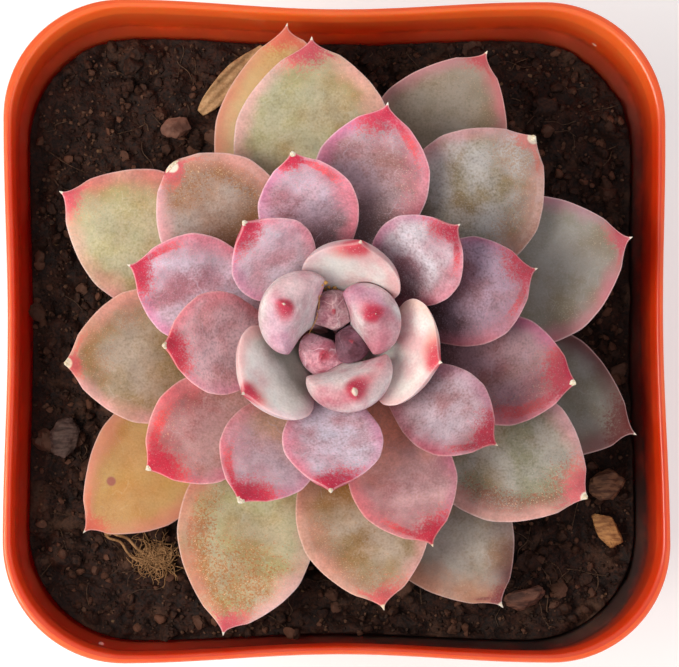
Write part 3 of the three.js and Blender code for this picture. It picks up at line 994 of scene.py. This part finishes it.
def make_leaf(number):
    leaf = Leaf(number)
    rings, end, values = leaf_skin(leaf, dents=0.0 if number < HEART_COUNT else 0.3)
    thing = lofted(f"fine_leaf_{number + 1:02d}", rings, end)
    values = with_ends(values)
    store(thing.data, values)
    others = pressed_by(number)
    if not others:
        return thing
    whole = KDTree(len(thing.data.vertices))
    for i, vertex in enumerate(thing.data.vertices):
        whole.insert(vertex.co, i)
    whole.balance()
    for other in others:
        swollen = leaf_skin(Leaf(other), swell=SWELL, rows=48, around=40)
        cut(thing, lofted("swollen_leaf", swollen[0], swollen[1]))
    nearest = np.array([whole.find(vertex.co)[1] for vertex in thing.data.vertices])
    for name in values:
        thing.data.attributes.remove(thing.data.attributes[name])
    store(thing.data, {name: numbers[nearest] for name, numbers in values.items()})
    thing.data.shade_smooth()
    thing.data.set_sharp_from_angle(angle=math.radians(40))
    return thing


leaves = [make_leaf(number) for number in range(len(LEAVES))]
print("leaves", sum(len(leaf.data.polygons) for leaf in leaves), "faces")

# %% [markdown]
# ## Leaf colours
#
# Up close a leaf has many layers of colour: green-grey or cream flesh, olive and brown at the root, darkened
# as painted shade where other leaves shade it, a powdery white bloom that rubs off in patches, a pink rim, a
# crimson blush that runs from the tip along one margin and breaks up into dots, gold and brown specks, a
# hair-thin pale line along the edge that is a painted highlight, and a cream horny tip. The layers could be
# mixed anew for each leaf. One node group lays them all, by the stored distances, and every leaf's material
# sets its own colours and amounts.

# %% The group that colours a leaf
SKIN_INPUTS = {
    "Flesh": "#b9b09a", "Tint": "#a8957c", "Root": "#8a7a55", "Bloom": "#d9d3d6", "Rim": "#d88f93",
    "Cool rim": "#c98aa0", "Blush": "#c8405a", "Ember": "#d8674c", "Speck": "#8d5a2c", "Tone": 1.0,
    "Patch mm": 5.5, "Root reach": 0.45, "Bloom cover": 0.6, "Rim width": 1.6, "Rim strength": 0.8,
    "Edge light": 0.28, "Blush reach": 4.0, "Blush run": 10.0, "Blush width": 1.6, "Blush grain": 0.8,
    "Speck cover": 0.3, "Speck inset": 4.0, "Speck reach": 11.0, "Horn mm": 0.6, "Scratch mm": 6.0,
    "Scratch": 0.35, "Fine": 1.0, "Frost": 1.0, "Warmth": 0.0,
}


def centred(noise_value, reach):
    """Noise moved to swing about zero, from about -reach to reach."""
    return (noise_value - 0.5) * (2.5 * reach)


def scratches(size, amount):
    """Fine lines that branch where bent cells of that size meet, here and there."""
    bend = add("TexNoise", {"Vector": surface_place(), "Scale": 420, "Detail": 1})["Color"]
    bent = vectors("ADD", surface_place(), scaled(bend, 0.0022))
    border = add("TexVoronoi", {"Vector": bent, "Scale": per_mm(size)}, feature="DISTANCE_TO_EDGE")
    half_line = 0.13 / size
    start = 0.62 - amount * 0.25
    here = fade(mottle(3.5, 1), start, start + 0.08)
    return clamped(fade(border, half_line, half_line * 0.2) * here * amount)


def gold_zone(given, tip, right, edge, place):
    """Where the old leaves' gold freckles gather: along the clockwise margin and towards the tip."""
    inset = given["Speck inset"]
    reach = given["Speck reach"]
    beside = fade(right, inset, inset * 0.4) * fade(edge, 0.9, 1.8)
    return calc("MAXIMUM", beside, fade(tip, reach, reach * 0.4) * 0.8) * fade(place, 0.4, 0.7)


def blush_share(given, tip, left, right, face, wander, dotted):
    """How red each spot is: a flare from the tip and a stripe beside one margin, both breaking up in dots."""
    reach = given["Blush reach"]
    run = given["Blush run"]
    grain = given["Blush grain"]
    ragged = (wander + centred(mottle(1.1), 0.9)) * (grain * 0.9)
    flare = fade(tip + (left - right) * 0.2 - face * 0.5 + ragged, reach * 1.35, reach * 0.25)
    half_width = given["Blush width"] * 0.6
    beside = calc("ABSOLUTE", right - (half_width + 0.3)) + wander * 0.3
    stripe = fade(beside, half_width * 1.2, half_width * 0.3) * fade(tip + wander, run, run * 0.5)
    return fade(calc("MAXIMUM", flare, stripe * 0.75) + dotted * (grain * 0.6), 0.15, 0.95)


def skin_group():
    given = new_group("Leaf skin", SKIN_INPUTS, ["Color", "Roughness", "Height"])
    tip, left, right = (stored(f"leaf_{name}_mm") for name in ("tip", "left", "right"))
    along = stored("leaf_along")
    edge = calc("MINIMUM", left, right)
    grain = mottle(0.22, 1)
    pores = mottle(0.34, 0)
    wander = centred(mottle(3.2), 1)
    place = along + wander * 0.06
    dotted = centred(pores, 0.55) + centred(grain, 0.55)

    color = blend(fade(mottle(given["Patch mm"] * 1.8), 0.4, 0.6), given["Flesh"], given["Tint"])
    # Painted shade at the root, where other leaves shade it, in the leaf's Root colour
    under = fade(place, given["Root reach"], given["Root reach"] - 0.32)
    color = blend(under, color, given["Root"])
    powder = fade(mottle(given["Patch mm"], 3) + dotted * 0.07, 0.31, 0.63)
    powder = clamped(powder * (1.1 - under) * given["Bloom cover"])
    color = blend(powder, color, given["Bloom"])
    color = blend(fade(grain, 0.5, 0.78) * (given["Fine"] * 0.3), color, given["Bloom"])
    color = blend(fade(pores, 0.46, 0.22) * (given["Fine"] * 0.13), color, given["Root"])
    color = blend(scratches(given["Scratch mm"], given["Scratch"]), color, given["Bloom"])
    freckles = use(SPECKS, Spacing_mm=1.3, Size_mm=0.24, Share=0.5) * fade(mottle(6, 1), 0.45, 0.6)
    color = blend(freckles * (given["Fine"] * 0.28), color, given["Root"])

    zone = gold_zone(given, tip, right, edge, place)
    specks = fade(zone + dotted * 0.9, 0.4, 1.15)
    color = blend(clamped(specks * given["Speck cover"]), color, given["Speck"])
    glints = fade(grain, 0.6, 0.72) * zone
    color = blend(clamped(glints * (given["Speck cover"] * 0.75)), color, "#e2cba8")

    width = given["Rim width"]
    inner = width + wander * (width * 0.6)
    uneven = fade(mottle(7, 1), 0.35, 0.6) * 0.45 + 0.62
    strength = fade(along, 0.1, 0.5) * (uneven * given["Rim strength"])
    color = blend(clamped(fade(left, inner * 1.3, 0) * strength), color, given["Cool rim"])
    color = blend(clamped(fade(right, inner * 1.5, width * 0.1) * strength), color, given["Rim"])

    blush = blush_share(given, tip, left, right, stored("leaf_face"), wander, dotted)
    reach = given["Blush reach"]
    hot = blend(fade(tip, reach * 0.6, reach * 1.5), given["Blush"], given["Ember"])
    hot = blend(fade(grain, 0.6, 0.76) * 0.3, hot, given["Bloom"])
    color = blend(blush * 0.95, color, hot)

    # A painted highlight: a hair-thin pale line along the margin, where the edge catches the light
    line = fade(edge, 0.28, 0.05) * fade(along, 0.2, 0.5)
    color = blend(clamped(line * given["Edge light"]), color, "#efcaca")
    color = blend(fade(tip, given["Horn mm"], given["Horn mm"] * 0.7), color, "#e2d2c0")
    frost = centred(mottle(0.34), 0.2) + centred(mottle(1.0), 0.14) + centred(mottle(3.6, 1), 0.2)
    cast = add("CombineXYZ", {0: given["Warmth"] + 1, 1: 1, 2: 1 - given["Warmth"]})
    # Tone scales the whole leaf: painted light and shade, brighter or darker for where the leaf stands
    cast = scaled(cast, (frost * given["Frost"] + 1) * given["Tone"])
    return finish_group(
        Color=vectors("MULTIPLY", color, cast), Roughness=powder * 0.2 + 0.52 - blush * 0.08,
        Height=grain * 0.5 + pores * 0.5)


SKIN = skin_group()
print("group:", SKIN.name, "with", len(SKIN_INPUTS), "inputs")

# %% [markdown]
# ## Looks by age
#
# The heart is dusky purple, the next leaves are cream white under their bloom, then come lilac and rose,
# and the oldest are grey-green, two of them turning gold before they wither; the shaded stage is a darker
# grey-green, painted shade for old leaves that lie in shade. Each look below is one stage, and each leaf
# takes a stage with a few changes of its own. Its Tone brightens or darkens the whole leaf as painted light
# and shade for where it stands.

# %% The stages of a leaf's life
STAGE_LABELS = """
    Flesh Tint Root Bloom Rim Cool_rim Blush Ember Speck
    Root_reach Bloom_cover Rim_width Rim_strength Blush_reach Blush_run Blush_width
    Speck_cover Speck_inset Horn_mm Frost
""".split()
STAGES = {
    "bud": """#8a5062 #9c6478 #3c1c26 #c9a8b6 #7c3f50 #7c3f50 #b0445a #b05a68 #5a2a38
        0.7 0.4 1.6 0 0.8 0.1 1.6 0 4 0.1 1.6
        Patch_mm=2 Blush_grain=0.15 Edge_light=0 Scratch_mm=3.4 Scratch=0.75 Fine=0.4""",
    "plump": """#ddd0cf #cb8796 #b07a80 #e8e0e0 #cc8094 #c28aa8 #b92c48 #d4707c #b8606e
        0.4 0.5 2.2 0.55 2.9 0.1 1.6 0 4 1 1.1
        Patch_mm=3.4 Blush_grain=0.1 Edge_light=0 Scratch=0.12 Fine=0.15""",
    "cream": """#d6cdc8 #d6aeb0 #b4ac9c #dfdeda #d99da0 #d09aae #c63a4c #dd8c82 #c77a70
        0.3 0.7 2.2 0.6 4 3 1.2 0 4 0.9 0.5
        Patch_mm=4.5 Edge_light=0.3 Blush_grain=0.2 Scratch=0.15 Fine=0.2""",
    "pale": """#bc98a4 #bd8e98 #86605a #cfc5d1 #d67e90 #c886a4 #ae1c3c #cf4c56 #b24a60
        0.45 0.75 2 0.8 4.6 11 1.7 0.25 5 0.6 1.3""",
    "lilac": """#aa8390 #a6747e #704c48 #bfb2c1 #cc7686 #bb7698 #ae1e3c #cc4c54 #a04558
        0.45 0.7 2.2 0.85 5 12 1.8 0.35 6 0.6 1.3""",
    "rose": """#9a6b70 #94655f #62423a #b5a2aa #c96a76 #b66b88 #ab203c #c84c50 #94424a
        0.5 0.55 2.5 0.9 5 14 1.9 0.5 7 0.6 1""",
    "olive": """#9a8c70 #937a54 #6b5830 #b6b0ab #d0968e #cf9ca2 #c25a60 #c67466 #8f5d34
        0.5 0.6 2.8 0.85 3 7 1.4 0.6 8 1.1 1""",
    "green": """#a69f74 #a18a5e #8b854c #bdbaa6 #d59f94 #d8aaa6 #be4c58 #cc766a #9a7040
        0.5 0.45 3 0.85 3.8 7 1.2 0.4 7 0.7 1""",
    "shaded": """#7c766a #766a58 #565038 #969290 #a86770 #9c6e7a #9c424c #a4605a #66492f
        0.45 0.5 2.4 0.85 3.5 7 1.2 0.25 6 0.6 0.4""",
    "gold": """#c08d50 #c49a58 #b5884a #cfae80 #cf8570 #cf8570 #c85f4c #d0785a #8f5526
        0.4 0.35 2.6 0.85 3.2 9 1.4 0.3 6 0.6 0.4""",
}


def read_value(word):
    return word if word.startswith("#") else float(word)


def read_changes(words):
    """Turns words such as Tone=0.9 into names and values."""
    return {name: read_value(value) for name, value in (word.split("=") for word in words)}


def read_stage(stage):
    """A stage's colours and amounts in the order of the labels, then its own other values."""
    words = STAGES[stage].split()
    count = len(STAGE_LABELS)
    return {**dict(zip(STAGE_LABELS, map(read_value, words[:count]))), **read_changes(words[count:])}


print(len(STAGES), "stages")

# %% Every leaf's stage and its own changes, youngest first
# Each leaf's Tone is painted light and shade for its place, and Root and Root_reach paint the shade at its
# root. The darker Rim, Cool_rim, Blush and Ember of leaves 4, 6, 32 and 35 are painted shade on their shaded
# edges.
LOOKS = """
bud Flesh=#6e3c4a Bloom=#9a7486 Tone=0.62
bud Flesh=#b07a8c Bloom=#e4ccd6 Root=#5c343e Tone=0.81 Warmth=0.08
bud Flesh=#bc7890 Tint=#b06880 Bloom=#e2c4d6 Root=#8c5a6c Blush_reach=1.6 Tone=1.01 Warmth=0.08
plump Tone=0.92 Horn_mm=0.3 Flesh=#d6d2d2 Rim=#b46a7a Rim_strength=0.75
plump Tone=0.94 Horn_mm=0.6
plump Tone=0.92 Horn_mm=1.3 Rim=#b8606e Cool_rim=#b8606e Blush_reach=3.3
cream Tone=0.89
cream Tone=1.01 Blush_reach=3.6 Root=#7c7c72 Root_reach=0.75 Blush=#bc2844
cream Tone=1.12 Ember=#e09a86 Cool_rim=#e0b8a8
pale Tone=1.15 Blush_run=3 Root=#a8908a Blush_reach=4.5
pale Tone=1.04 Blush_run=5 Bloom=#d6d0e0 Rim=#c96a80 Blush_reach=4.8
pale Tone=0.82 Root=#6a343e Root_reach=0.68 Bloom=#dcd4de Bloom_cover=0.9
pale Tone=1.01 Warmth=0.1 Bloom=#d2bacb Flesh=#bc8c98 Blush_run=4 Root=#7a4640 Blush_reach=4.7
pale Tone=0.61 Warmth=0.05 Blush_reach=5.8 Rim=#c05a74 Root=#7a5458 Root_reach=0.6 Bloom=#dccadc \
    Flesh=#bc8c98 Bloom_cover=0.9
lilac Tone=1.3 Blush_reach=2.8 Root=#6a4c4c Root_reach=0.74
lilac Tone=1.07 Warmth=0.04 Root=#c09c84 Root_reach=0.72
lilac Tone=0.65 Root=#503236 Root_reach=0.72 Bloom=#cab0c8 Flesh=#aa7886 Bloom_cover=0.85
lilac Tone=1.35 Root=#987c74 Bloom=#c8becc
lilac Tone=0.86 Warmth=0.12 Bloom=#c6a8b4 Root=#e09c8c Root_reach=0.7
rose Tone=1.35 Warmth=-0.06 Root=#5a4240 Root_reach=0.72
rose Tone=1.24 Warmth=0.1 Root=#8c6a5c Flesh=#99585c Blush_width=2.4 Blush_reach=5.2
rose Tone=0.82 Root=#40292a Root_reach=0.6 Blush_run=18 Blush_width=2.6 Rim=#d4808c Bloom=#b696a2 \
    Flesh=#9a626a
olive Tone=1.16 Speck_cover=0.8 Root=#7a5230 Root_reach=0.8 Flesh=#a88e80 Tint=#a07a60 Blush_reach=2.2
olive Tone=0.94 Warmth=0.1 Root=#9a6a2c Root_reach=0.7 Blush_reach=4
olive Tone=0.78 Blush=#c87a74 Blush_reach=2.2 Root=#4c4028 Root_reach=0.66 Speck_inset=9 Bloom=#c6c2c2 \
    Bloom_cover=0.75
olive Tone=0.99 Warmth=0.1 Speck_cover=0.55 Blush_reach=2.2 Root_reach=0.74 Root=#7e6834
olive Tone=0.93 Flesh=#8f8c72 Blush_reach=4.6 Speck=#8a4a30 Speck_cover=0.8
green Tone=1.02 Blush_reach=5 Blush=#b84050
green Tone=1.1 Speck=#a06a3c Speck_cover=0.95 Speck_reach=24 Speck_inset=9 Flesh=#a9a578 Rim=#c48270 \
    Cool_rim=#d8aaa6
shaded Tone=1.3 Root=#8a8670 Root_reach=0.65
green Tone=1.26 Rim=#c2706c Cool_rim=#c88a84
olive Tone=0.88 Flesh=#9c866a Tint=#9a765c Root=#a49070 Rim=#b87c64 Cool_rim=#5c3034 Rim_width=4.6 \
    Blush=#7a3438 Ember=#8a4640 Speck_cover=0.3
shaded Tone=1.22 Warmth=0.1
gold Tone=0.98
shaded Tone=1.06 Rim=#74383c Cool_rim=#5c2c30 Root=#7c785e Rim_width=3.6 Blush=#5c2420 Ember=#6a302c \
    Blush_reach=6
gold Tone=1.08 Root=#d8bc94 Root_reach=1 Blush_reach=4.4
""".strip().splitlines()
SPOTS = {33: (-33.8, -22.7)}
LEAF_SLOTS = ["leaf_bud"] * 3 + ["leaf_pale"] * 6 + ["leaf_lilac"] * 10 + ["leaf_rose"] * 5 + ["leaf_old"]
LEAF_SLOTS += ["leaf_rose"] + ["leaf_old"] * 7 + ["leaf_gold", "leaf_old", "leaf_gold"]


def leaf_material(name, values, spot=None):
    """A leaf's finish. One old leaf has a round brown spot as well."""
    shader = new_material(
        name, Subsurface_Weight=0.3, Subsurface_Radius=(1.0, 0.45, 0.35), Subsurface_Scale=0.003,
        Specular_IOR_Level=0.3)
    skin = use(SKIN, **values)
    color = skin
    if spot:
        level = vectors("MULTIPLY", surface_place(), (1, 1, 0))
        away = vectors("DISTANCE", level, (spot[0] * MM, spot[1] * MM, 0))["Value"]
        color = blend(fade(away, 0.0009, 0.0005), color, "#a86a5c")
    return finished(shader, color, skin["Roughness"], skin["Height"], depth=0.06, strength=0.45)


for number, (leaf, look) in enumerate(zip(leaves, LOOKS)):
    node = f"leaf_{number + 1:02d}"
    stage, *changes = look.split()
    values = {**read_stage(stage), **read_changes(changes)}
    dress(leaf, leaf_material(f"{node}_{stage}", values, SPOTS.get(number)), LEAF_SLOTS[number], node)
print(len(leaves), "leaves dressed")

# %% [markdown]
# ## Worn tips
#
# Many tips were nipped or rubbed while the leaf was young, and healed over with a flat cream crust, some of
# them with a small crater. A change of colour alone would leave the tips needle-sharp. So the leaf's own
# mesh ends blunt, and a small lump caps that end, shaped in the leaf's own coordinates so that it follows
# the tip.

# %% The crusts on the worn tips
def make_crusts():
    parts = []
    points, faces = ball(4)
    for number, (gone, length, width, crater) in WORN_TIPS.items():
        leaf = Leaf(number)
        bumps = np.array([noise.noise(Vector(point) * 1.6 + Vector((number, 0, 0))) for point in points])
        lump = points * (1 + 0.16 * bumps[:, None])
        middle = np.exp(-((np.hypot(lump[:, 0], lump[:, 1]) / 0.45) ** 2))
        above = 0.3 * lump[:, 2] * np.where(lump[:, 2] > 0, 1 - crater * middle, 1) - 0.02
        along = 1 - (gone + 0.4 - lump[:, 0] * length / 2) / leaf.length
        lump[:, 1] *= 1.05 - 0.3 * lump[:, 0]
        parts.append((leaf.place(along, lump[:, 1] * width / 2, above), faces.tolist()))
    return joined("healed_tips", parts)


def crust_material():
    shader = new_material("healed_tip", Subsurface_Weight=0.2, Subsurface_Scale=0.001)
    grain = use(GRAIN, Size_mm=0.25, Patch_mm=1.2)
    color = blend(fade(grain, 0.35, 0.65), "#cdb896", "#ece2d0")
    color = blend(use(SPECKS, Spacing_mm=0.7, Size_mm=0.16, Share=0.3) * 0.7, color, "#8f6d4a")
    return finished(shader, color, grain * 0.3 + 0.45, grain)


crusts = dress(make_crusts(), crust_material(), "leaf_rose")
print("healed tips", len(crusts.data.polygons), "faces")

# %% [markdown]
# ## Stem
#
# The stem hides under the rosette, and shows only between the lowest leaves from the side. It is a tapering
# post, ringed by the scars of leaves that have dropped. The solid's profile is kept and scars are raised on
# it.

# %% The stem's mesh and material
def make_stem():
    rings = []
    for z in np.linspace(-STEM_BURIED, STEM_TOP - 2.2, 90):
        if z < 0.5:
            radius = STEM_RADIUS - 0.9 * max(0, 2 - STEM_BURIED - z) / 2
        else:
            number = (len(LEAVES) - 1) * max(0, (STEM_TOP - z - 1.2) / (STEM_TOP - LOWEST_ROOT)) ** (1 / 1.1)
            radius = max(0.3, STEM_RADIUS * (1 - math.exp(-(number + 1.2) / 6)) - 0.75)
        angle = circle(72)
        scars = 0.16 * np.maximum(0, np.sin(5 * angle + 2.4 * z)) ** 3 * (1 if z > -0.5 else 0)
        wide = radius * (1 + 0.02 * np.sin(3 * angle + z)) + scars * min(1, radius / 2)
        ring = np.stack([wide * np.cos(angle), wide * np.sin(angle), np.full(72, z)], -1)
        rings.append(ring @ PLANT_LEAN.T + PLANT_PLACE)
    return lofted("leafy_stem", rings)


def stem_material():
    shader = new_material("green_stem")
    grain = use(GRAIN, Size_mm=0.6, Patch_mm=3.0)
    color = blend(fade(grain, 0.35, 0.65), "#6f6436", "#8f8350")
    color = blend(fade(mottle(2.5, 4), 0.55, 0.7), color, "#6b4a33")
    # The top, in the gap at the heart, is very dark purple: young tissue, darkened as painted shade of the
    # gap
    color = blend(fade(coordinates()["Z"], 0.084, 0.09), color, "#331a22")
    return finished(shader, color, grain + 0.2, grain, depth=0.2)


stem = dress(make_stem(), stem_material(), "stem_tissue", "stem")
print("stem", len(stem.data.polygons), "faces")

# %% [markdown]
# ## What lies on the soil
#
# Four chips of bark, a pebble, a withered leaf and a dry root lie around the rosette, each on a small bed.
# Chips and pebble are balls pressed flat on many random sides, which gives them broken faces and edges,
# with noise for their splits. A box with bevels would look cut. The withered leaf is a thin blade, curled
# and wrinkled along its length, and the root is a knobbed stalk that ends in a tuft of fibres.

# %% Chips and pebble
CHIPS = {
    "bark_chip_1": dict(size=(5.6, 5.0, 2.4), turn=20, seed=3, light="#7a543c", dark="#4e3022"),
    "bark_chip_2": dict(size=(6.6, 3.8, 2), turn=-50, seed=5, light="#b98450", dark="#8a5a34"),
    "bark_chip_3": dict(size=(6.2, 4.6, 2.4), turn=75, seed=7, light="#54403a", dark="#33231f"),
    "bark_chip_4": dict(size=(6.2, 3.4, 2.2), turn=15, seed=9, light="#7a5040", dark="#4a2e26"),
    "pebble": dict(size=(4.4, 3.6, 2.6), turn=10, seed=13, light="#7c5547", dark="#5a3c32"),
}


def settle(points, name, turn):
    """Turns a piece and lays it on its bed in the soil."""
    x, y, _ = BEDS[name]
    angle = math.radians(turn)
    cosine, sine = math.cos(angle), math.sin(angle)
    turned = points @ np.array(((cosine, -sine, 0), (sine, cosine, 0), (0, 0, 1))).T
    lowest = turned[..., 2].min()
    return turned + (x, y, soil_waves(x, y) + GAP - lowest)


def make_chip(name, size, seed, turn, light, dark):
    points, faces = ball(5)
    split = 0.06 if name != "pebble" else 0.03
    roll = np.random.default_rng(seed)
    shaped = []
    for point in pressed(points * 1.05, 11, roll, (0.66, 0.92)):
        spot = Vector(point) * 1.3 + Vector((seed * 7.1, 0, 0))
        lump = 0.98 + 0.12 * noise.noise(spot * 1.6)
        fibres = split * noise.noise(Vector((spot.x * 1.5, spot.y * 7, spot.z * 7)))
        shaped.append(np.array(point) * (lump + fibres))
    shaped = np.array(shaped) * np.array(size) / 2
    return piece(f"fine_{name}", settle(shaped, name, turn), faces.tolist())


def chip_material(name, light, dark, stripes):
    shader = new_material(f"{name}_finish", Specular_IOR_Level=0.3)
    grain = use(GRAIN, Size_mm=0.3, Patch_mm=1.6)
    stretched = add("Mapping", {"Vector": surface_place(), "Scale": stripes})
    fibres = add("TexNoise", {"Vector": stretched, "Scale": 400, "Detail": 4})
    color = blend(fade(fibres, 0.38, 0.62), dark, light)
    color = blend(fade(grain, 0.55, 0.75), color, "#2a1c15")
    color = blend(use(DUST, Amount=0.1, Patch_mm=2.0), color, "#8c7767")
    return finished(shader, color, grain * 0.3 + 0.55, fibres, depth=0.25, strength=0.8)


for name, chip in CHIPS.items():
    thing = make_chip(name, **chip)
    stripes = (1, 1, 1) if name == "pebble" else (1, 5, 5)
    slot = "pebble_stone" if name == "pebble" else "bark"
    dress(thing, chip_material(name, chip["light"], chip["dark"], stripes), slot, name)
print("chips:", ", ".join(CHIPS))


# %% The withered leaf
def make_withered_leaf():
    length, width, thick, arch = 14, 3.6, 0.8, 1.0
    along = np.linspace(0, 1, 70)[:, None]
    angle = circle(48)[None, :]
    half = width / 2 * (0.3 + 0.7 * np.sin(math.pi * along**0.8))
    across = half * np.cos(angle) * (1 + 0.06 * np.sin(9 * along + 2))
    lift = arch * np.sin(math.pi * along) + 0.3 * across * np.sin(3 * along)
    wrinkles = 0.14 * np.sin(across * 5 + 3 * along) + 0.1 * np.sin(along * 38 + across * 2)
    curl = 0.16 * across**2
    z = lift + wrinkles + curl + thick / 2 * np.sin(angle)
    rings = np.stack([(along - 0.5) * length * np.ones_like(angle), across, z], -1)
    return lofted("fine_withered_leaf", settle(rings, "withered_leaf", 47))


def dry_material(name, light, dark, spots):
    shader = new_material(name, Specular_IOR_Level=0.3)
    grain = use(GRAIN, Size_mm=0.4, Patch_mm=2.5)
    color = blend(fade(grain, 0.35, 0.65), dark, light)
    color = blend(fade(mottle(1.6, 3), 0.6, 0.72), color, spots)
    return finished(shader, color, grain * 0.3 + 0.5, grain, depth=0.15)


papery = dry_material("withered", "#c49c72", "#a07a54", "#7a583a")
withered = dress(make_withered_leaf(), papery, "dry_leaf", "withered_leaf")
print("withered leaf", len(withered.data.polygons), "faces")


# %% Strands and the dry root
def smooth_path(knots, steps):
    """A smooth curve through knots, as points."""
    knots = np.asarray(knots, float)
    place = np.arange(len(knots))
    fine = np.linspace(0, len(knots) - 1, steps)
    padded = np.concatenate([[2 * knots[0] - knots[1]], knots, [2 * knots[-1] - knots[-2]]])
    i = np.minimum(fine.astype(int), len(place) - 2)
    t = (fine - i)[:, None]
    p0, p1, p2, p3 = (padded[i + shift] for shift in range(4))
    curved = (2 * p0 - 5 * p1 + 4 * p2 - p3) * t**2 + (3 * p1 - p0 - 3 * p2 + p3) * t**3
    return 0.5 * (2 * p1 + (p2 - p0) * t + curved)


def strand(knots, radius, steps=16, around=6, thin_end=0.5):
    """Points and faces of a round strand along a curve, thinner at its far end."""
    path = smooth_path(knots, steps)
    ahead = np.gradient(path, axis=0)
    ahead /= np.linalg.norm(ahead, axis=1)[:, None]
    side = np.cross(ahead, (0.31, 0.17, 1))
    side /= np.linalg.norm(side, axis=1)[:, None]
    above = np.cross(ahead, side)
    angle = circle(around)[None, :, None]
    width = radius * np.linspace(1, thin_end, steps)[:, None, None]
    rings = path[:, None] + width * (side[:, None] * np.cos(angle) + above[:, None] * np.sin(angle))
    points = np.concatenate([rings.reshape(-1, 3), path[:1], path[-1:]])
    return points, loft_faces(steps, around)


def make_dry_root():
    """A thin stalk folded back on itself, and a dense tuft of curly fibres at its end."""
    roll = np.random.default_rng(17)
    stalk = [
        (1.2, 0.6, 0.5), (-0.6, 0.6, 0.9), (-2.6, 1.1, 1.1), (-4.4, 0.7, 1.0), (-5.6, 0.7, 0.9),
        (-5.8, 0, 0.8), (-5, -0.3, 0.8), (-3.2, 0.1, 0.9), (-1.4, -0.7, 0.7), (0.4, -0.9, 0.5),
        (1.6, -0.2, 0.5),
    ]
    parts = [strand(stalk, 0.24, 90, 10, 0.8)]
    points, faces = ball(4)
    knob = points * (0.62, 0.5, 0.45) * (1 + 0.1 * np.sin(points[:, :1] * 7)) + (-5.6, 0.35, 0.8)
    parts.append((knob, faces.tolist()))
    for _ in range(170):
        spot = np.array((2.4, 0.7, 0.7)) + roll.standard_normal(3) * (1.1, 0.8, 0.2)
        heading = roll.uniform(0, 2 * math.pi)
        bend = roll.choice((-1, 1)) * roll.uniform(0.1, 0.7)
        knots = []
        for _ in range(6):
            knots.append(spot)
            step = roll.uniform(0.45, 0.9)
            spot = spot + (step * math.cos(heading), step * math.sin(heading), roll.uniform(-0.25, 0.25))
            spot[2] = min(max(spot[2], 0.2), 1.7)
            heading += bend + roll.uniform(-0.6, 0.6)
        parts.append(strand(knots, roll.uniform(0.05, 0.12), 16, 5))
    low = min(points[:, 2].min() for points, _ in parts)
    laid = []
    for points, faces in parts:
        standing = np.concatenate([points, [(0, 0, low)]])
        laid.append((settle(standing, "dry_root", -32)[:-1], faces))
    return joined("fine_dry_root", laid)


root_finish = dry_material("dry_root_finish", "#a67e56", "#75522f", "#4a3220")
dry_root = dress(make_dry_root(), root_finish, "dry_fibre", "dry_root")
print("dry root", len(dry_root.data.polygons), "faces")

# %% [markdown]
# ## Caught in the heart
#
# In the seams between the youngest leaves lie a few gold grains and threads, shed scales of the flower
# stalk or the buds. Painted on, they would have no shadow. So they are tiny lumps and strands, and a ray
# cast down on the young leaves' meshes finds the height that each one comes to rest at.

# %% Gold grains and threads
HEART_GRAINS = [
    (-3.1, 4.7), (-2.7, 4.5), (-2.2, 4.6), (-1.8, 4.3), (-1.3, 4.5), (-1.0, 4.2), (-2.5, 4.2), (-3.5, 4.3),
]
HEART_THREADS = [
    [(-3.9, 2.9), (-3.8, 1.4), (-4.2, -0.4), (-5.1, -2.2)],
    [(-3.4, 3.2), (-3.9, 1.9), (-4.1, 0.6)],
]


def make_heart_bits():
    """Shed scales that lie in the seams between the youngest leaves, dropped on them from above."""
    graph = bpy.context.evaluated_depsgraph_get()
    trees = [BVHTree.FromObject(leaf, graph) for leaf in leaves[:HEART_COUNT]]

    def top(x, y):
        start = Vector((x, y, 140)) * MM
        hits = [tree.ray_cast(start, Vector((0, 0, -1)))[0] for tree in trees]
        return max(hit.z for hit in hits if hit) / MM

    roll = np.random.default_rng(41)
    points, faces = ball(3)
    parts = []
    for x, y in HEART_GRAINS:
        size = roll.uniform(0.16, 0.3)
        grain = broken(points, 5, roll) * size * roll.uniform(0.8, 1.4, 3)
        parts.append((grain + (x, y, top(x, y) + size * 0.5), faces.tolist()))
    for thread in HEART_THREADS:
        knots = [(x, y, top(x, y) + 0.12) for x, y in thread]
        parts.append(strand(knots, 0.09, 30, 6, 0.7))
    return joined("heart_scales", parts)


scale_finish = dry_material("shed_scale", "#d9a860", "#a8763a", "#6b4722")
scales = dress(make_heart_bits(), scale_finish, "leaf_bud")
print("heart scales", len(scales.data.polygons), "faces")

# %% [markdown]
# ## Peat fibres
#
# Fine dark fibres run over damp peat in all directions. Each is one thin strand through four points, which
# are laid on the ground's own height, so that it follows the crumbs.

# %% Peat fibres
def make_peat_fibres(count, seed):
    """Fine fibres of peat lying here and there over the ground."""
    roll = np.random.default_rng(seed)
    parts = []
    while len(parts) < count:
        x, y = roll.uniform(-SOIL_EDGE + 3, SOIL_EDGE - 3, 2)
        if max(abs(x), abs(y)) < 26 or math.hypot(max(abs(x) - 30, 0), max(abs(y) - 30, 0)) > 13:
            continue
        heading = roll.uniform(0, 2 * math.pi)
        length = roll.uniform(2.5, 7)
        knots = []
        for share in (-0.5, -0.17, 0.17, 0.5):
            px = x + length * share * math.cos(heading) + roll.uniform(-0.5, 0.5)
            py = y + length * share * math.sin(heading) + roll.uniform(-0.5, 0.5)
            knots.append((px, py, 0))
        knots = np.clip(np.array(knots), -SOIL_EDGE + 1, SOIL_EDGE - 1)
        knots[:, 2] = rough_height(knots[:, 0], knots[:, 1]) + roll.uniform(0.1, 0.6)
        parts.append(strand(knots, roll.uniform(0.05, 0.12), 12, 5))
    return joined("peat_fibres", parts)


peat_finish = dry_material("peat_fibre", "#5f4632", "#33231a", "#241812")
fibres = dress(make_peat_fibres(170, 31), peat_finish, "potting_soil")
print("peat fibres", len(fibres.data.polygons), "faces")
